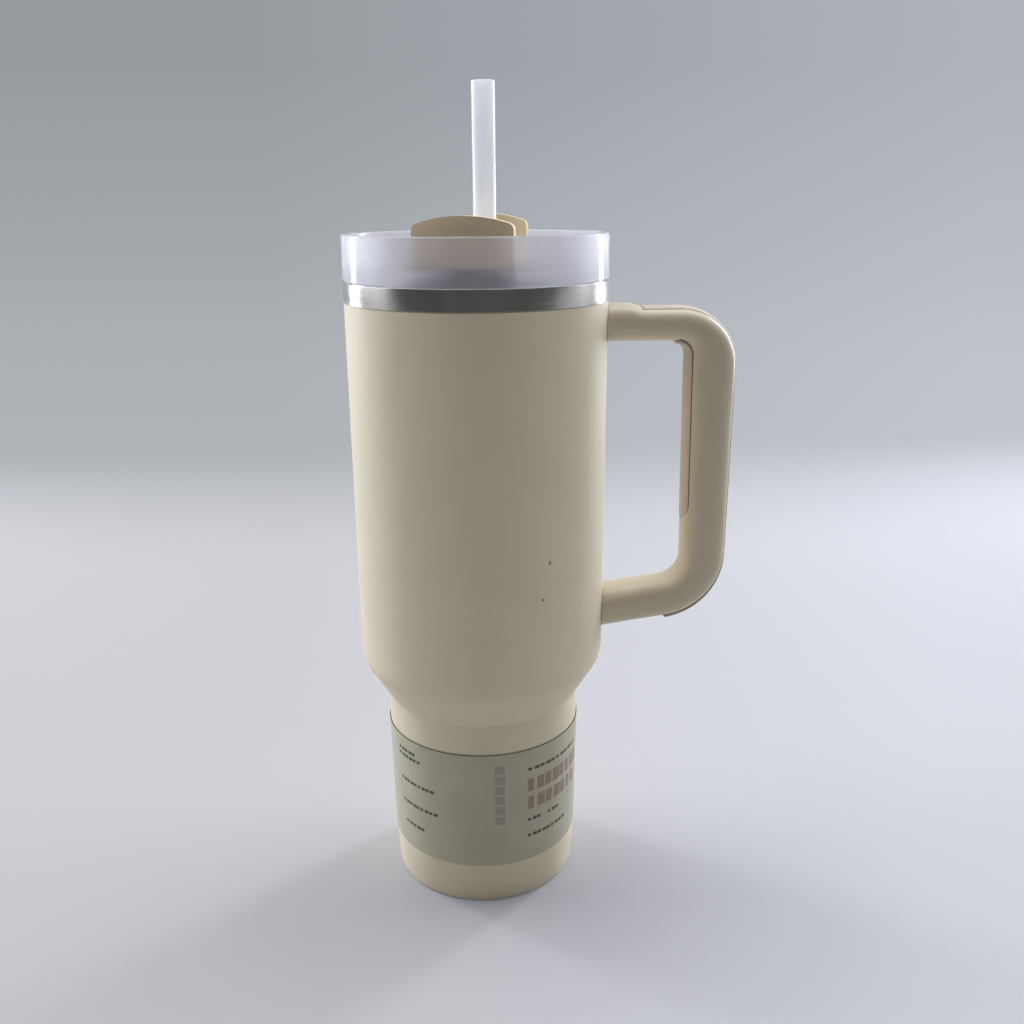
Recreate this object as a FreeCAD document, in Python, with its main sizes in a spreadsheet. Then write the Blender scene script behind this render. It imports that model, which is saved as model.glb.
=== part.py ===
import FreeCAD, Part
import math
import os
import re
import Sketcher
from FreeCAD import Placement, Rotation, Vector

# Insulated drinking tumbler with a carrying handle, a press-in lid with a turning cover, and a straw.
# Millimetres and degrees. +Z is up, the origin is the centre of the foot, and the handle points to +X.

SIZES = {
    # Painted outer shell
    "body_radius": 49.2,
    "shell_wall": 0.8,
    "shell_height": 238.9,
    "shoulder_height": 98.0,
    "shoulder_angle": 31.0,
    "shoulder_round": 14.0,
    "neck_round": 3.0,
    "barrel_radius": 39.15,
    "barrel_taper_height": 70.0,
    "barrel_low_radius": 38.2,
    "barrel_low_height": 16.0,
    "foot_radius": 37.4,
    "foot_round": 1.3,
    "foot_lip": 4.4,
    # Bare steel inner vessel, with its folded drinking rim
    "vacuum_gap": 3.0,
    "vessel_wall": 0.8,
    "vessel_floor": 9.0,
    "floor_round": 7.0,
    "rim_height": 246.6,
    "rim_round": 1.6,
    "band_proud": 0.1,
    # Base
    "plate_thickness": 0.8,
    "dish_radius": 29.0,
    "dish_rise": 1.8,
    "getter_radius": 6.0,
    "getter_height": 2.4,
    "getter_offset": 14.0,
    "bead_radius": 2.6,
    "bead_height": 1.2,
    # Paper sleeve round the barrel
    "sleeve_low": 17.8,
    "sleeve_high": 68.6,
    "sleeve_thickness": 0.25,
    "sleeve_clearance": 0.1,
    # Handle
    "handle_width": 20.6,
    "handle_edge_round": 6.1,
    "saddle_gap": 0.5,
    "upper_arm_low": 223.05,
    "upper_arm_depth": 12.85,
    "collar_depth": 14.05,
    "collar_reach": 57.5,
    "collar_ramp": 4.0,
    "collar_round": 12.0,
    "grip_outer_high": 99.1,
    "grip_outer_low": 98.4,
    "grip_inner_high": 79.3,
    "grip_inner_low": 81.0,
    "outer_corner_high": 22.5,
    "outer_corner_low": 28.0,
    "inner_corner_high": 4.5,
    "inner_corner_low": 9.0,
    "lower_arm_reach": 50.0,
    "lower_arm_height": 115.35,
    "lower_arm_angle": 8.7,
    "lower_arm_depth": 15.6,
    "core_width": 8.0,
    "core_depth": 9.0,
    "core_high": 205.0,
    "core_low": 150.0,
    # Soft grip inserts
    "insert_depth": 1.6,
    "insert_seam": 0.15,
    "inner_insert_width": 14.0,
    "inner_insert_start": 74.0,
    "inner_insert_low": 153.5,
    "inner_insert_end_flat": 0.1,
    "outer_insert_width": 12.0,
    "outer_insert_start": 62.0,
    "outer_insert_end": 70.0,
    # Welded handle brackets and their screws
    "stub_radius": 4.3,
    "stub_length": 9.3,
    "stub_clearance": 0.15,
    "flange_radius": 5.4,
    "flange_thickness": 1.2,
    "web_thickness": 3.2,
    "screw_radius": 2.0,
    "screw_clearance": 0.2,
    "thread_clearance": 0.05,
    "screw_length": 11.5,
    "thread_depth": 8.4,
    "head_radius": 3.5,
    "head_height": 2.3,
    "hex_radius": 1.6,
    "hex_depth": 1.3,
    "washer_radius": 3.9,
    "washer_thickness": 0.8,
    "access_clearance": 0.3,
    # Lid
    "lid_overhang": 0.1,
    "lid_draft": 0.3,
    "lid_top": 263.0,
    "lid_seat_gap": 0.3,
    "lid_wall": 2.0,
    "lid_lip_round": 0.8,
    "deck_height": 252.0,
    "deck_thickness": 2.4,
    "plug_clearance": 0.8,
    "plug_wall": 2.4,
    "plug_low": 230.0,
    "groove_low": 235.0,
    "groove_width": 5.0,
    "groove_depth": 1.4,
    "gasket_clearance": 0.15,
    "gasket_fit": 0.1,
    "gasket_tip": 0.4,
    "hub_radius": 9.0,
    "hub_depth": 6.2,
    "drink_inset": 7.0,
    "drink_width": 17.0,
    "drink_depth": 8.0,
    "drink_round": 3.6,
    "vent_radius": 1.3,
    "vent_inset": 6.0,
    # Straw and its grommet
    "straw_radius": 4.0,
    "straw_wall": 0.7,
    "straw_height": 312.4,
    "straw_floor_gap": 1.6,
    "straw_offset": 20.27,
    "straw_bearing": -80.6,
    "grommet_radius": 6.0,
    "grommet_flange": 7.2,
    "grommet_flange_thickness": 0.9,
    "grommet_skirt": 1.4,
    "grommet_clearance": 0.2,
    # Turning cover
    "cover_bearing": -96.2,
    "cover_clearance": 3.0,
    "cover_gap": 0.4,
    "cover_thickness": 2.6,
    "cover_wing_angle": 52.0,
    "cover_hub_radius": 13.5,
    "notch_clearance": 1.4,
    "notch_angle": 40.0,
    "tab_width": 34.0,
    "tab_crest": 269.7,
    "tab_shoulder": 266.6,
    "tab_round": 2.6,
    "tab_foot_inset": 12.0,
    "tab_crest_inset": 7.5,
    "pivot_radius": 4.5,
    "pivot_clearance": 0.1,
    "pivot_length": 10.0,
    "clip_radius": 7.2,
    "clip_thickness": 1.4,
    "clip_groove": 0.6,
    "clip_gap": 0.3,
    "oring_section": 0.9,
    "oring_recess": 2.0,
    "seal_thickness": 1.4,
    "seal_proud": 0.15,
    "seal_margin": 2.2,
}

document = FreeCAD.newDocument("tumbler")
sheet = document.addObject("Spreadsheet::Sheet", "Sizes")
for row, (alias, size) in enumerate(SIZES.items(), start=1):
    sheet.set(f"A{row}", str(size))
    sheet.setAlias(f"A{row}", alias)
document.recompute()


def formula(text):
    """Points the names in a formula at the cells of the sheet."""
    return re.sub(r"[a-z_]{4,}", lambda m: f"Sizes.{m[0]}" if m[0] in SIZES else m[0], str(text))


def value(text):
    """Works a formula out now."""
    return float(sheet.evalExpression(formula(text)))


def bind(item, **properties):
    """Ties properties of an object to formulas of the sheet."""
    for name, text in properties.items():
        item.setExpression(name, formula(text))
    return item


# ---- Sketches and bodies -------------------------------------------------------------------------


def new_body(label):
    """An empty body that carries the label of its sub-part."""
    body = document.addObject("PartDesign::Body", label)
    body.Label = label
    return body


def new_sketch(body, role, offset=None, turn=None):
    """A sketch on one of the body's own origin planes, lifted and turned by formulas."""
    sketch = body.newObject("Sketcher::SketchObject", "Sketch")
    plane = next(item for item in body.Origin.OriginFeatures if item.Role == role)
    sketch.AttachmentSupport = [(plane, "")]
    sketch.MapMode = "FlatFace"
    if offset is not None:
        sketch.setExpression("AttachmentOffset.Base.z", formula(offset))
    if turn is not None:
        sketch.AttachmentOffset = Placement(Vector(), Rotation(Vector(0, 0, 1), value(turn)))
        sketch.setExpression("AttachmentOffset.Rotation.Angle", formula(turn))
    return sketch


def fix(sketch, element, end, across, up):
    """Holds a point of a sketch at two formulas from the sketch's own origin."""
    for kind, text in (("DistanceX", across), ("DistanceY", up)):
        index = sketch.addConstraint(Sketcher.Constraint(kind, -1, 1, element, end, value(text)))
        sketch.setExpression(f"Constraints[{index}]", formula(text))


def outline(sketch, corners):
    """A closed outline through (across, up, radius) corners, each held by formulas."""
    count = len(corners)
    points = [Vector(value(across), value(up), 0) for across, up, _ in corners]
    entries, exits, arcs = [], [], []
    for i in range(count):
        radius = value(corners[i][2])
        before = (points[i - 1] - points[i]).normalize()
        after = (points[(i + 1) % count] - points[i]).normalize()
        if radius <= 0:
            entries.append(points[i])
            exits.append(points[i])
            arcs.append(None)
            continue
        half = before.getAngle(after) / 2
        entries.append(points[i] + before * (radius / math.tan(half)))
        exits.append(points[i] + after * (radius / math.tan(half)))
        middle = points[i] + (before + after).normalize() * (radius / math.sin(half))
        turns_left = before.cross(after).z < 0
        ends = (entries[i], exits[i]) if turns_left else (exits[i], entries[i])
        angles = [math.atan2(end.y - middle.y, end.x - middle.x) for end in ends]
        circle = Part.Circle(middle, Vector(0, 0, 1), radius)
        arcs.append((Part.ArcOfCircle(circle, *angles), turns_left))
    lines = []
    for i in range(count):
        side = Part.LineSegment(exits[i], entries[(i + 1) % count])
        lines.append(sketch.addGeometry(side))
    for i, arc in enumerate(arcs):
        across, up, radius = corners[i]
        if arc is None:
            sketch.addConstraint(Sketcher.Constraint("Coincident", lines[i - 1], 2, lines[i], 1))
            fix(sketch, lines[i], 1, across, up)
            continue
        bend = sketch.addGeometry(arc[0])
        first, last = (1, 2) if arc[1] else (2, 1)
        sketch.addConstraint(Sketcher.Constraint("Tangent", lines[i - 1], 2, bend, first))
        sketch.addConstraint(Sketcher.Constraint("Tangent", bend, last, lines[i], 1))
        index = sketch.addConstraint(Sketcher.Constraint("Radius", bend, value(radius)))
        sketch.setExpression(f"Constraints[{index}]", formula(radius))
        apex = sketch.addGeometry(Part.Point(points[i]), True)
        sketch.addConstraint(Sketcher.Constraint("PointOnObject", apex, 1, lines[i - 1]))
        sketch.addConstraint(Sketcher.Constraint("PointOnObject", apex, 1, lines[i]))
        fix(sketch, apex, 1, across, up)
    return sketch


def ring(sketch, across, up, radius):
    """A circle held by formulas."""
    middle = Vector(value(across), value(up), 0)
    edge = sketch.addGeometry(Part.Circle(middle, Vector(0, 0, 1), value(radius)))
    index = sketch.addConstraint(Sketcher.Constraint("Radius", edge, value(radius)))
    sketch.setExpression(f"Constraints[{index}]", formula(radius))
    fix(sketch, edge, 3, across, up)
    return sketch


def revolve(body, corners):
    """Turns an outline in the (radius, height) plane once round the upright axis."""
    sketch = outline(new_sketch(body, "XZ_Plane"), corners)
    turned = body.newObject("PartDesign::Revolution", "Revolution")
    turned.Profile = sketch
    turned.ReferenceAxis = (sketch, ["V_Axis"])
    turned.Angle = 360.0
    sketch.Visibility = False
    return turned


def pad(body, sketch, length):
    """Pads a sketch by half the length to each side of its plane."""
    raised = body.newObject("PartDesign::Pad", "Pad")
    raised.Profile = sketch
    raised.Midplane = True
    return bind(raised, Length=length)


def pocket(body, sketch, length):
    """Cuts a sketch out by half the length to each side of its plane."""
    cut = body.newObject("PartDesign::Pocket", "Pocket")
    cut.Profile = sketch
    cut.Midplane = True
    return bind(cut, Length=length)


# ---- Part primitives and booleans ----------------------------------------------------------------


def primitive(kind, name, base=("0", "0", "0"), axis=None, turn="0", **sizes):
    """A Part primitive whose sizes and place are tied to the sheet."""
    item = document.addObject(kind, name)
    if axis is not None:
        item.Placement = Placement(Vector(), Rotation(axis, value(turn)))
        item.setExpression("Placement.Rotation.Angle", formula(turn))
    for letter, text in zip("xyz", base):
        item.setExpression(f"Placement.Base.{letter}", formula(text))
    return bind(item, **sizes)


def cylinder(name, radius, length, base=("0", "0", "0"), axis=None, turn="0", **more):
    return primitive("Part::Cylinder", name, base, axis, turn, Radius=radius, Height=length, **more)


def joined(label, pieces):
    item = document.addObject("Part::MultiFuse", label)
    item.Shapes = pieces
    item.Label = label
    return item


def shared(label, pieces):
    item = document.addObject("Part::MultiCommon", label)
    item.Shapes = pieces
    item.Label = label
    return item


def cut_away(label, stock, tool):
    item = document.addObject("Part::Cut", label)
    item.Base = stock
    item.Tool = tool
    item.Label = label
    return item


# ---- Steel cup -----------------------------------------------------------------------------------

# The shell, the vacuum space and the vessel are parallel walls, so each follows the outside at a depth.
NECK = "(shoulder_height - (body_radius - barrel_radius) / tan(shoulder_angle))"
BARREL_SLOPE = "((barrel_radius - barrel_low_radius) / (barrel_taper_height - barrel_low_height))"
GAP_DEPTH = "(shell_wall + vacuum_gap)"
INNER_DEPTH = "(shell_wall + vacuum_gap + vessel_wall)"


def shoulder_corners(depth):
    """The two corners of the cone between body and barrel, on the wall at this depth."""
    lift = f"{depth} * tan(shoulder_angle / 2)"
    return [
        (f"body_radius - {depth}", f"shoulder_height + {lift}", f"shoulder_round - {depth}"),
        (f"barrel_radius - {depth}", f"{NECK} + {lift}", f"neck_round + {depth}"),
    ]


def barrel_radius_at(height):
    return f"(barrel_low_radius + ({height} - barrel_low_height) * {BARREL_SLOPE})"


def outer_shell():
    """Drawn steel shell: body, shoulder cone, slim barrel and a foot turned inwards."""
    body = new_body("outer_shell")
    outside = [
        ("body_radius", "shell_height", "0"),
        *shoulder_corners("0"),
        ("barrel_radius", "barrel_taper_height", "0"),
        ("barrel_low_radius", "barrel_low_height", "0"),
        ("foot_radius", "0", "foot_round"),
        ("foot_radius - foot_lip", "0", "0"),
    ]
    inside = [
        ("foot_radius - foot_lip", "shell_wall", "0"),
        ("foot_radius - shell_wall", "shell_wall", "foot_round - shell_wall"),
        ("barrel_low_radius - shell_wall", "barrel_low_height", "0"),
        ("barrel_radius - shell_wall", "barrel_taper_height", "0"),
        *reversed(shoulder_corners("shell_wall")),
        ("body_radius - shell_wall", "shell_height", "0"),
    ]
    revolve(body, outside + inside)
    return body


def inner_vessel():
    """Bare steel vessel; its mouth folds outwards and down as the band that meets the shell."""
    body = new_body("inner_vessel")
    band = "(body_radius + band_proud)"
    outside = [
        ("0", "vessel_floor - vessel_wall", "0"),
        (f"barrel_low_radius - {GAP_DEPTH}", "vessel_floor - vessel_wall", "floor_round + vessel_wall"),
        (f"barrel_radius - {GAP_DEPTH}", "barrel_taper_height", "0"),
        *reversed(shoulder_corners(GAP_DEPTH)),
        (f"body_radius - {GAP_DEPTH}", "rim_height - vessel_wall", "rim_round - vessel_wall"),
        (f"{band} - vessel_wall", "rim_height - vessel_wall", "rim_round - vessel_wall"),
        (f"{band} - vessel_wall", "shell_height", "0"),
    ]
    inside = [
        (band, "shell_height", "0"),
        (band, "rim_height", "rim_round"),
        (f"body_radius - {INNER_DEPTH}", "rim_height", "rim_round"),
        *shoulder_corners(INNER_DEPTH),
        (f"barrel_radius - {INNER_DEPTH}", "barrel_taper_height", "0"),
        (f"barrel_low_radius - {INNER_DEPTH}", "vessel_floor", "floor_round"),
        ("0", "vessel_floor", "0"),
    ]
    revolve(body, outside + inside)
    return body


def base_plate():
    """Dished steel disc that closes the foot, seated on the turned-in lip."""
    body = new_body("base_plate")
    edge = "(foot_radius - foot_round - shell_wall)"
    high = "(shell_wall + dish_rise)"
    revolve(body, [
        ("0", high, "0"),
        ("dish_radius - dish_rise", high, "plate_thickness"),
        ("dish_radius", "shell_wall", "plate_thickness"),
        (edge, "shell_wall", "0"),
        (edge, "shell_wall + plate_thickness", "0"),
        ("dish_radius + plate_thickness / 2", "shell_wall + plate_thickness", "plate_thickness"),
        ("dish_radius - dish_rise + plate_thickness / 2", f"{high} + plate_thickness", "plate_thickness"),
        ("0", f"{high} + plate_thickness", "0"),
    ])
    return body


def getter_capsule():
    """Small capsule welded below the vessel's floor, inside the vacuum space."""
    body = new_body("getter_capsule")
    low = "vessel_floor - vessel_wall - getter_height / 2"
    sketch = new_sketch(body, "XY_Plane", offset=low)
    pad(body, ring(sketch, "getter_offset", "0", "getter_radius"), "getter_height")
    return body


def vacuum_seal_bead():
    """Bead that closed the pumping hole, below the middle of the base plate."""
    body = new_body("vacuum_seal_bead")
    high = "(shell_wall + dish_rise)"
    revolve(body, [
        ("0", f"{high} - bead_height", "0"),
        ("bead_radius", f"{high} - bead_height", "bead_height / 2"),
        ("bead_radius", high, "0"),
        ("0", high, "0"),
    ])
    return body


def paper_sleeve():
    """Paper wrap round the barrel, as a slightly tapered tube."""
    body = new_body("paper_sleeve")
    corners = []
    for height in ("sleeve_low", "sleeve_high"):
        inner = f"{barrel_radius_at(height)} + sleeve_clearance"
        corners.append((inner, height, "0"))
        corners.append((f"{inner} + sleeve_thickness", height, "0"))
    revolve(body, [corners[0], corners[1], corners[3], corners[2]])
    return body


# ---- Handle --------------------------------------------------------------------------------------

TOUCHING = 1e-6
ROOT = "(body_radius - handle_edge_round)"
ARM_TOP = "(upper_arm_low + upper_arm_depth)"
UPPER_AXIS = "(upper_arm_low + collar_depth / 2)"
ALONG_X = Vector(0, 1, 0)


def lower_arm_at(reach, rise="0"):
    """Height of a line that runs along the lower arm, this far above its middle."""
    slope = f"({reach} - lower_arm_reach) * tan(lower_arm_angle)"
    return f"(lower_arm_height + {slope} + ({rise}) / cos(lower_arm_angle))"


def handle_outer_corners(depth):
    """The three bends of the outside of the handle, on a line at this depth."""
    high = f"(grip_outer_high - {depth})"
    low = f"(grip_outer_low - {depth})"
    return [
        (high, f"{ARM_TOP} - {depth}", f"outer_corner_high - {depth}"),
        (low, lower_arm_at(low, f"{depth} - lower_arm_depth / 2"), f"outer_corner_low - {depth}"),
    ]


def handle_blank():
    """The handle's outer form: side view padded across the width, with large rounded edges."""
    body = new_body("handle_blank")
    corners = [
        (ROOT, "upper_arm_low + collar_depth", "0"),
        ("collar_reach", "upper_arm_low + collar_depth", "collar_round"),
        ("collar_reach + collar_ramp", ARM_TOP, "collar_round"),
        *handle_outer_corners("0"),
        (ROOT, lower_arm_at(ROOT, "0 - lower_arm_depth / 2"), "0"),
        (ROOT, lower_arm_at(ROOT, "lower_arm_depth / 2"), "0"),
        ("grip_inner_low", lower_arm_at("grip_inner_low", "lower_arm_depth / 2"), "inner_corner_low"),
        ("grip_inner_high", "upper_arm_low", "inner_corner_high"),
        (ROOT, "upper_arm_low", "0"),
    ]
    raised = pad(body, outline(new_sketch(body, "XZ_Plane"), corners), "handle_width")
    document.recompute()
    root = value(ROOT)
    side = value("handle_width / 2")
    edges = []
    for number, edge in enumerate(raised.Shape.Edges, start=1):
        box = edge.BoundBox
        along_side = abs(abs(box.Center.y) - side) < TOUCHING and box.YLength < TOUCHING
        if along_side and box.XMax > root + TOUCHING:
            edges.append(f"Edge{number}")
    rounded = body.newObject("PartDesign::Fillet", "Fillet")
    rounded.Base = (raised, edges)
    bind(rounded, Radius="handle_edge_round")
    body.Tip = rounded
    return body


def side_tool(name, corners, width):
    """A cutting body made from a side view."""
    body = new_body(name)
    pad(body, outline(new_sketch(body, "XZ_Plane"), corners), width)
    return body


def inner_insert_tool(name, margin):
    """What the inner grip insert takes out of the handle, grown by a margin."""
    depth = f"(insert_depth + {margin})"
    low = f"(inner_insert_low - {margin})"
    slope = f"((grip_inner_low - grip_inner_high) / (upper_arm_low - {lower_arm_at('grip_inner_low')}))"
    end = f"grip_inner_high + (upper_arm_low - {low}) * {slope} + {depth}"
    start = f"inner_insert_start - {margin}"
    side = side_tool(f"{name}_side", [
        (start, low, "0"),
        (end, low, "0"),
        (f"grip_inner_high + {depth}", f"upper_arm_low + {depth}", f"inner_corner_high + {depth}"),
        (start, f"upper_arm_low + {depth}", "0"),
    ], "handle_width")
    front = new_body(f"{name}_front")
    half = f"(inner_insert_width / 2 + {margin})"
    top = "upper_arm_low + collar_depth"
    shape = outline(new_sketch(front, "YZ_Plane"), [
        (f"0 - {half}", low, f"{half} - inner_insert_end_flat / 2"),
        (half, low, f"{half} - inner_insert_end_flat / 2"),
        (half, top, "0"),
        (f"0 - {half}", top, "0"),
    ])
    pad(front, shape, "4 * grip_outer_high")
    return [side, front]


def outer_insert_tool(name, margin):
    """What the outer grip insert takes out of the handle, grown by a margin."""
    depth = f"(insert_depth + {margin})"
    start = f"outer_insert_start - {margin}"
    end = f"(outer_insert_end - {margin})"
    beyond = "grip_outer_high + handle_width"
    over = f"{ARM_TOP} + handle_width"
    under = f"{lower_arm_at(end)} - handle_width"
    return side_tool(name, [
        (start, f"{ARM_TOP} - {depth}", "0"),
        *handle_outer_corners(depth),
        (end, lower_arm_at(end, f"{depth} - lower_arm_depth / 2"), "0"),
        (end, under, "0"),
        (beyond, under, "0"),
        (beyond, over, "0"),
        (start, over, "0"),
    ], f"outer_insert_width + 2 * {margin}")


# Each arm is held by one bracket and one screw on the line of the arm. Places along that line are
# distances from the outside of the cup.
ARMS = {
    "upper": (lambda reach: UPPER_AXIS, "90"),
    "lower": (lambda reach: lower_arm_at(reach), "90 - lower_arm_angle"),
}
WEB_END = "(stub_length + stub_clearance + web_thickness)"


def on_arm(arm, name, radius, start, length):
    """A round piece on an arm's line, from one distance outside the cup over a length."""
    height, turn = ARMS[arm]
    tilt = "0" if arm == "upper" else "lower_arm_angle"
    reach = f"(body_radius + ({start}) * cos({tilt}))"
    return cylinder(f"{arm}_{name}", radius, length, (reach, "0", height(reach)), ALONG_X, turn)


def arm_cuts(arm):
    """Socket for the bracket, screw hole in the web, and the driver's way in from outside."""
    return [
        on_arm(arm, "flange_seat", "flange_radius + stub_clearance", "0 - handle_edge_round",
               "handle_edge_round + flange_thickness + stub_clearance"),
        on_arm(arm, "socket", "stub_radius + stub_clearance", "0", "stub_length + stub_clearance"),
        on_arm(arm, "screw_hole", "screw_radius + screw_clearance", "stub_length",
               "web_thickness + 2 * stub_clearance"),
        on_arm(arm, "driver_bore", "washer_radius + access_clearance", WEB_END, "body_radius"),
    ]


def handle_frame(blank):
    """Moulded handle with its insert channels, cored grip, saddles and screw bores."""
    inner = shared("inner_insert_recess", inner_insert_tool("inner_recess", "insert_seam"))
    outer = outer_insert_tool("outer_recess", "insert_seam")
    core = primitive(
        "Part::Box", "grip_core",
        base=("grip_outer_low - insert_depth - core_depth", "0 - core_width / 2", "core_low"),
        Length="core_depth + insert_depth", Width="core_width", Height="core_high - core_low",
    )
    saddle = cylinder("saddle", "body_radius + saddle_gap", "shell_height")
    cuts = [inner, outer, core, saddle]
    for arm in ARMS:
        cuts += arm_cuts(arm)
    return cut_away("handle_frame", blank, joined("handle_cuts", cuts))


def inner_grip_insert(blank):
    """Soft strip set into the inner face of the grip, with a round lower end."""
    return shared("inner_grip_insert", [blank, *inner_insert_tool("inner_insert", "0")])


def outer_grip_insert(blank):
    """Soft strip over the back of the handle; it hides both screw bores."""
    return shared("outer_grip_insert", [blank, outer_insert_tool("outer_insert", "0")])


def handle_bracket(arm):
    """Welded stub with a saddle flange on the shell and a threaded end."""
    flange = on_arm(arm, "flange", "flange_radius", "0 - stub_radius", "stub_radius + flange_thickness")
    stub = on_arm(arm, "stub", "stub_radius", "0 - stub_radius", "stub_radius + stub_length")
    bore = on_arm(arm, "thread", "screw_radius + thread_clearance", "stub_length - thread_depth",
                  "thread_depth + stub_clearance")
    skin = cylinder(f"{arm}_skin", "body_radius", "shell_height")
    solid = joined(f"{arm}_bracket_solid", [flange, stub])
    return cut_away(f"{arm}_handle_bracket", solid, joined(f"{arm}_bracket_cuts", [bore, skin]))


def handle_washers():
    """A flat washer below each screw head."""
    rings = []
    for arm in ARMS:
        disc = on_arm(arm, "washer", "washer_radius", WEB_END, "washer_thickness")
        hole = on_arm(arm, "washer_hole", "screw_radius + screw_clearance",
                      f"{WEB_END} - washer_thickness", "3 * washer_thickness")
        rings.append(cut_away(f"{arm}_washer_ring", disc, hole))
    return joined("handle_washers", rings)


def handle_screws():
    """Two socket screws; each draws its arm against the bracket."""
    screws = []
    seat = f"({WEB_END} + washer_thickness)"
    for arm in ARMS:
        height, turn = ARMS[arm]
        head = on_arm(arm, "head", "head_radius", seat, "head_height")
        shank = on_arm(arm, "shank", "screw_radius", f"{seat} - screw_length",
                       "screw_length + head_height / 2")
        tilt = "0" if arm == "upper" else "lower_arm_angle"
        reach = f"(body_radius + ({seat} + head_height - hex_depth) * cos({tilt}))"
        drive = primitive("Part::Prism", f"{arm}_drive", (reach, "0", height(reach)), ALONG_X, turn,
                          Circumradius="hex_radius", Height="head_height")
        screws.append(cut_away(f"{arm}_screw", joined(f"{arm}_screw_solid", [head, shank]), drive))
    return joined("handle_screws", screws)


# ---- Lid -----------------------------------------------------------------------------------------

SEAT = "(rim_height + lid_seat_gap)"
LID = "(body_radius + lid_overhang)"
LID_TOP_RADIUS = f"({LID} - lid_draft)"
MOUTH = f"(body_radius - {INNER_DEPTH})"
PLUG = f"({MOUTH} - plug_clearance)"
DECK_LOW = "(deck_height - deck_thickness)"
STRAW_X = "(straw_offset * cos(straw_bearing))"
STRAW_Y = "(straw_offset * sin(straw_bearing))"
COVER_LOW = "(deck_height + cover_gap)"
COVER_HIGH = f"({COVER_LOW} + cover_thickness)"
CLIP_HIGH = "(deck_height - hub_depth - clip_gap)"
COVER = f"({LID_TOP_RADIUS} - lid_wall - cover_clearance)"
DRINK = f"({COVER} - drink_inset)"


def lid_body():
    """Clear moulded lid: tall rim, sunk deck, plug with a gasket groove, and a pivot hub."""
    body = new_body("lid_body")
    revolve(body, [
        ("0", DECK_LOW, "0"),
        (f"{PLUG} - plug_wall", DECK_LOW, "0"),
        (f"{PLUG} - plug_wall", "plug_low", "0"),
        (PLUG, "plug_low", "lid_lip_round"),
        (PLUG, "groove_low", "0"),
        (f"{PLUG} - groove_depth", "groove_low", "0"),
        (f"{PLUG} - groove_depth", "groove_low + groove_width", "0"),
        (PLUG, "groove_low + groove_width", "0"),
        (PLUG, SEAT, "0"),
        (LID, SEAT, "lid_lip_round"),
        (LID_TOP_RADIUS, "lid_top", "lid_lip_round"),
        (f"{LID_TOP_RADIUS} - lid_wall", "lid_top", "lid_lip_round"),
        (f"{LID_TOP_RADIUS} - lid_wall", "deck_height", "lid_lip_round"),
        ("0", "deck_height", "0"),
    ])
    hub = ring(new_sketch(body, "XY_Plane", offset="deck_height - hub_depth / 2"), "0", "0", "hub_radius")
    pad(body, hub, "hub_depth")
    bore = new_sketch(body, "XY_Plane", offset="deck_height")
    pocket(body, ring(bore, "0", "0", "pivot_radius + pivot_clearance"), "4 * hub_depth")
    recess = new_sketch(body, "XY_Plane", offset="deck_height")
    ring(recess, "0", "0", "pivot_radius + 2 * oring_section + 2 * pivot_clearance")
    pocket(body, recess, "2 * oring_recess")
    straw_hole = new_sketch(body, "XY_Plane", offset="deck_height")
    pocket(body, ring(straw_hole, STRAW_X, STRAW_Y, "grommet_radius"), "4 * deck_thickness")
    flange_seat = new_sketch(body, "XY_Plane", offset="deck_height")
    pocket(body, ring(flange_seat, STRAW_X, STRAW_Y, "grommet_flange"), "2 * grommet_flange_thickness")
    drink = new_sketch(body, "XY_Plane", offset="deck_height", turn="cover_bearing")
    outline(drink, [
        (f"{DRINK} {radial} drink_depth / 2", f"{side} drink_width / 2", "drink_round")
        for radial, side in (("-", "0 -"), ("+", "0 -"), ("+", "0 +"), ("-", "0 +"))
    ])
    pocket(body, drink, "4 * deck_thickness")
    vent = new_sketch(body, "XY_Plane", offset="deck_height", turn="cover_bearing")
    pocket(body, ring(vent, f"vent_inset - {COVER}", "0", "vent_radius"), "4 * deck_thickness")
    return body


def lid_gasket():
    """Silicone ring in the plug's groove, with two lips that wipe the mouth of the cup."""
    body = new_body("lid_gasket")
    back = f"({PLUG} - groove_depth + gasket_fit)"
    tip = f"({MOUTH} - gasket_clearance)"
    low = "(groove_low + gasket_fit)"
    high = "(groove_low + groove_width - gasket_fit)"
    lip = f"(({high} - {low}) / 6)"
    waist = f"({PLUG} - gasket_fit)"
    revolve(body, [
        (back, low, "0"),
        (waist, low, "0"),
        (tip, f"{low} + {lip}", "0"),
        (tip, f"{low} + {lip} + gasket_tip", "0"),
        (waist, f"{low} + 2 * {lip}", "0"),
        (waist, f"{high} - 2 * {lip}", "0"),
        (tip, f"{high} - {lip} - gasket_tip", "0"),
        (tip, f"{high} - {lip}", "0"),
        (waist, high, "0"),
        (back, high, "0"),
    ])
    return body


def pivot_oring():
    """Seal between the cover's pivot and the lid, in a recess of the deck."""
    ring_radius = "pivot_radius + oring_section + 1.5 * pivot_clearance"
    height = "deck_height - oring_recess + oring_section + pivot_clearance / 2"
    item = primitive("Part::Torus", "pivot_oring", ("0", "0", height),
                     Radius1=ring_radius, Radius2="oring_section")
    item.Label = "pivot_oring"
    return item


def straw_grommet():
    """Silicone grommet that holds the straw, flush with the deck."""
    body = new_body("straw_grommet")
    bore = "(straw_radius + grommet_clearance)"
    neck = "(grommet_radius - gasket_fit)"
    low = f"({DECK_LOW} - grommet_skirt)"
    brim = "(grommet_flange - gasket_fit)"
    brim_low = "(deck_height - grommet_flange_thickness)"
    revolve(body, [
        (bore, low, "0"),
        (neck, low, "0"),
        (neck, brim_low, "0"),
        (brim, brim_low, "0"),
        (brim, "deck_height", "0"),
        (bore, "deck_height", "0"),
    ])
    bind(body, **{"Placement.Base.x": STRAW_X, "Placement.Base.y": STRAW_Y})
    return body


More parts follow.
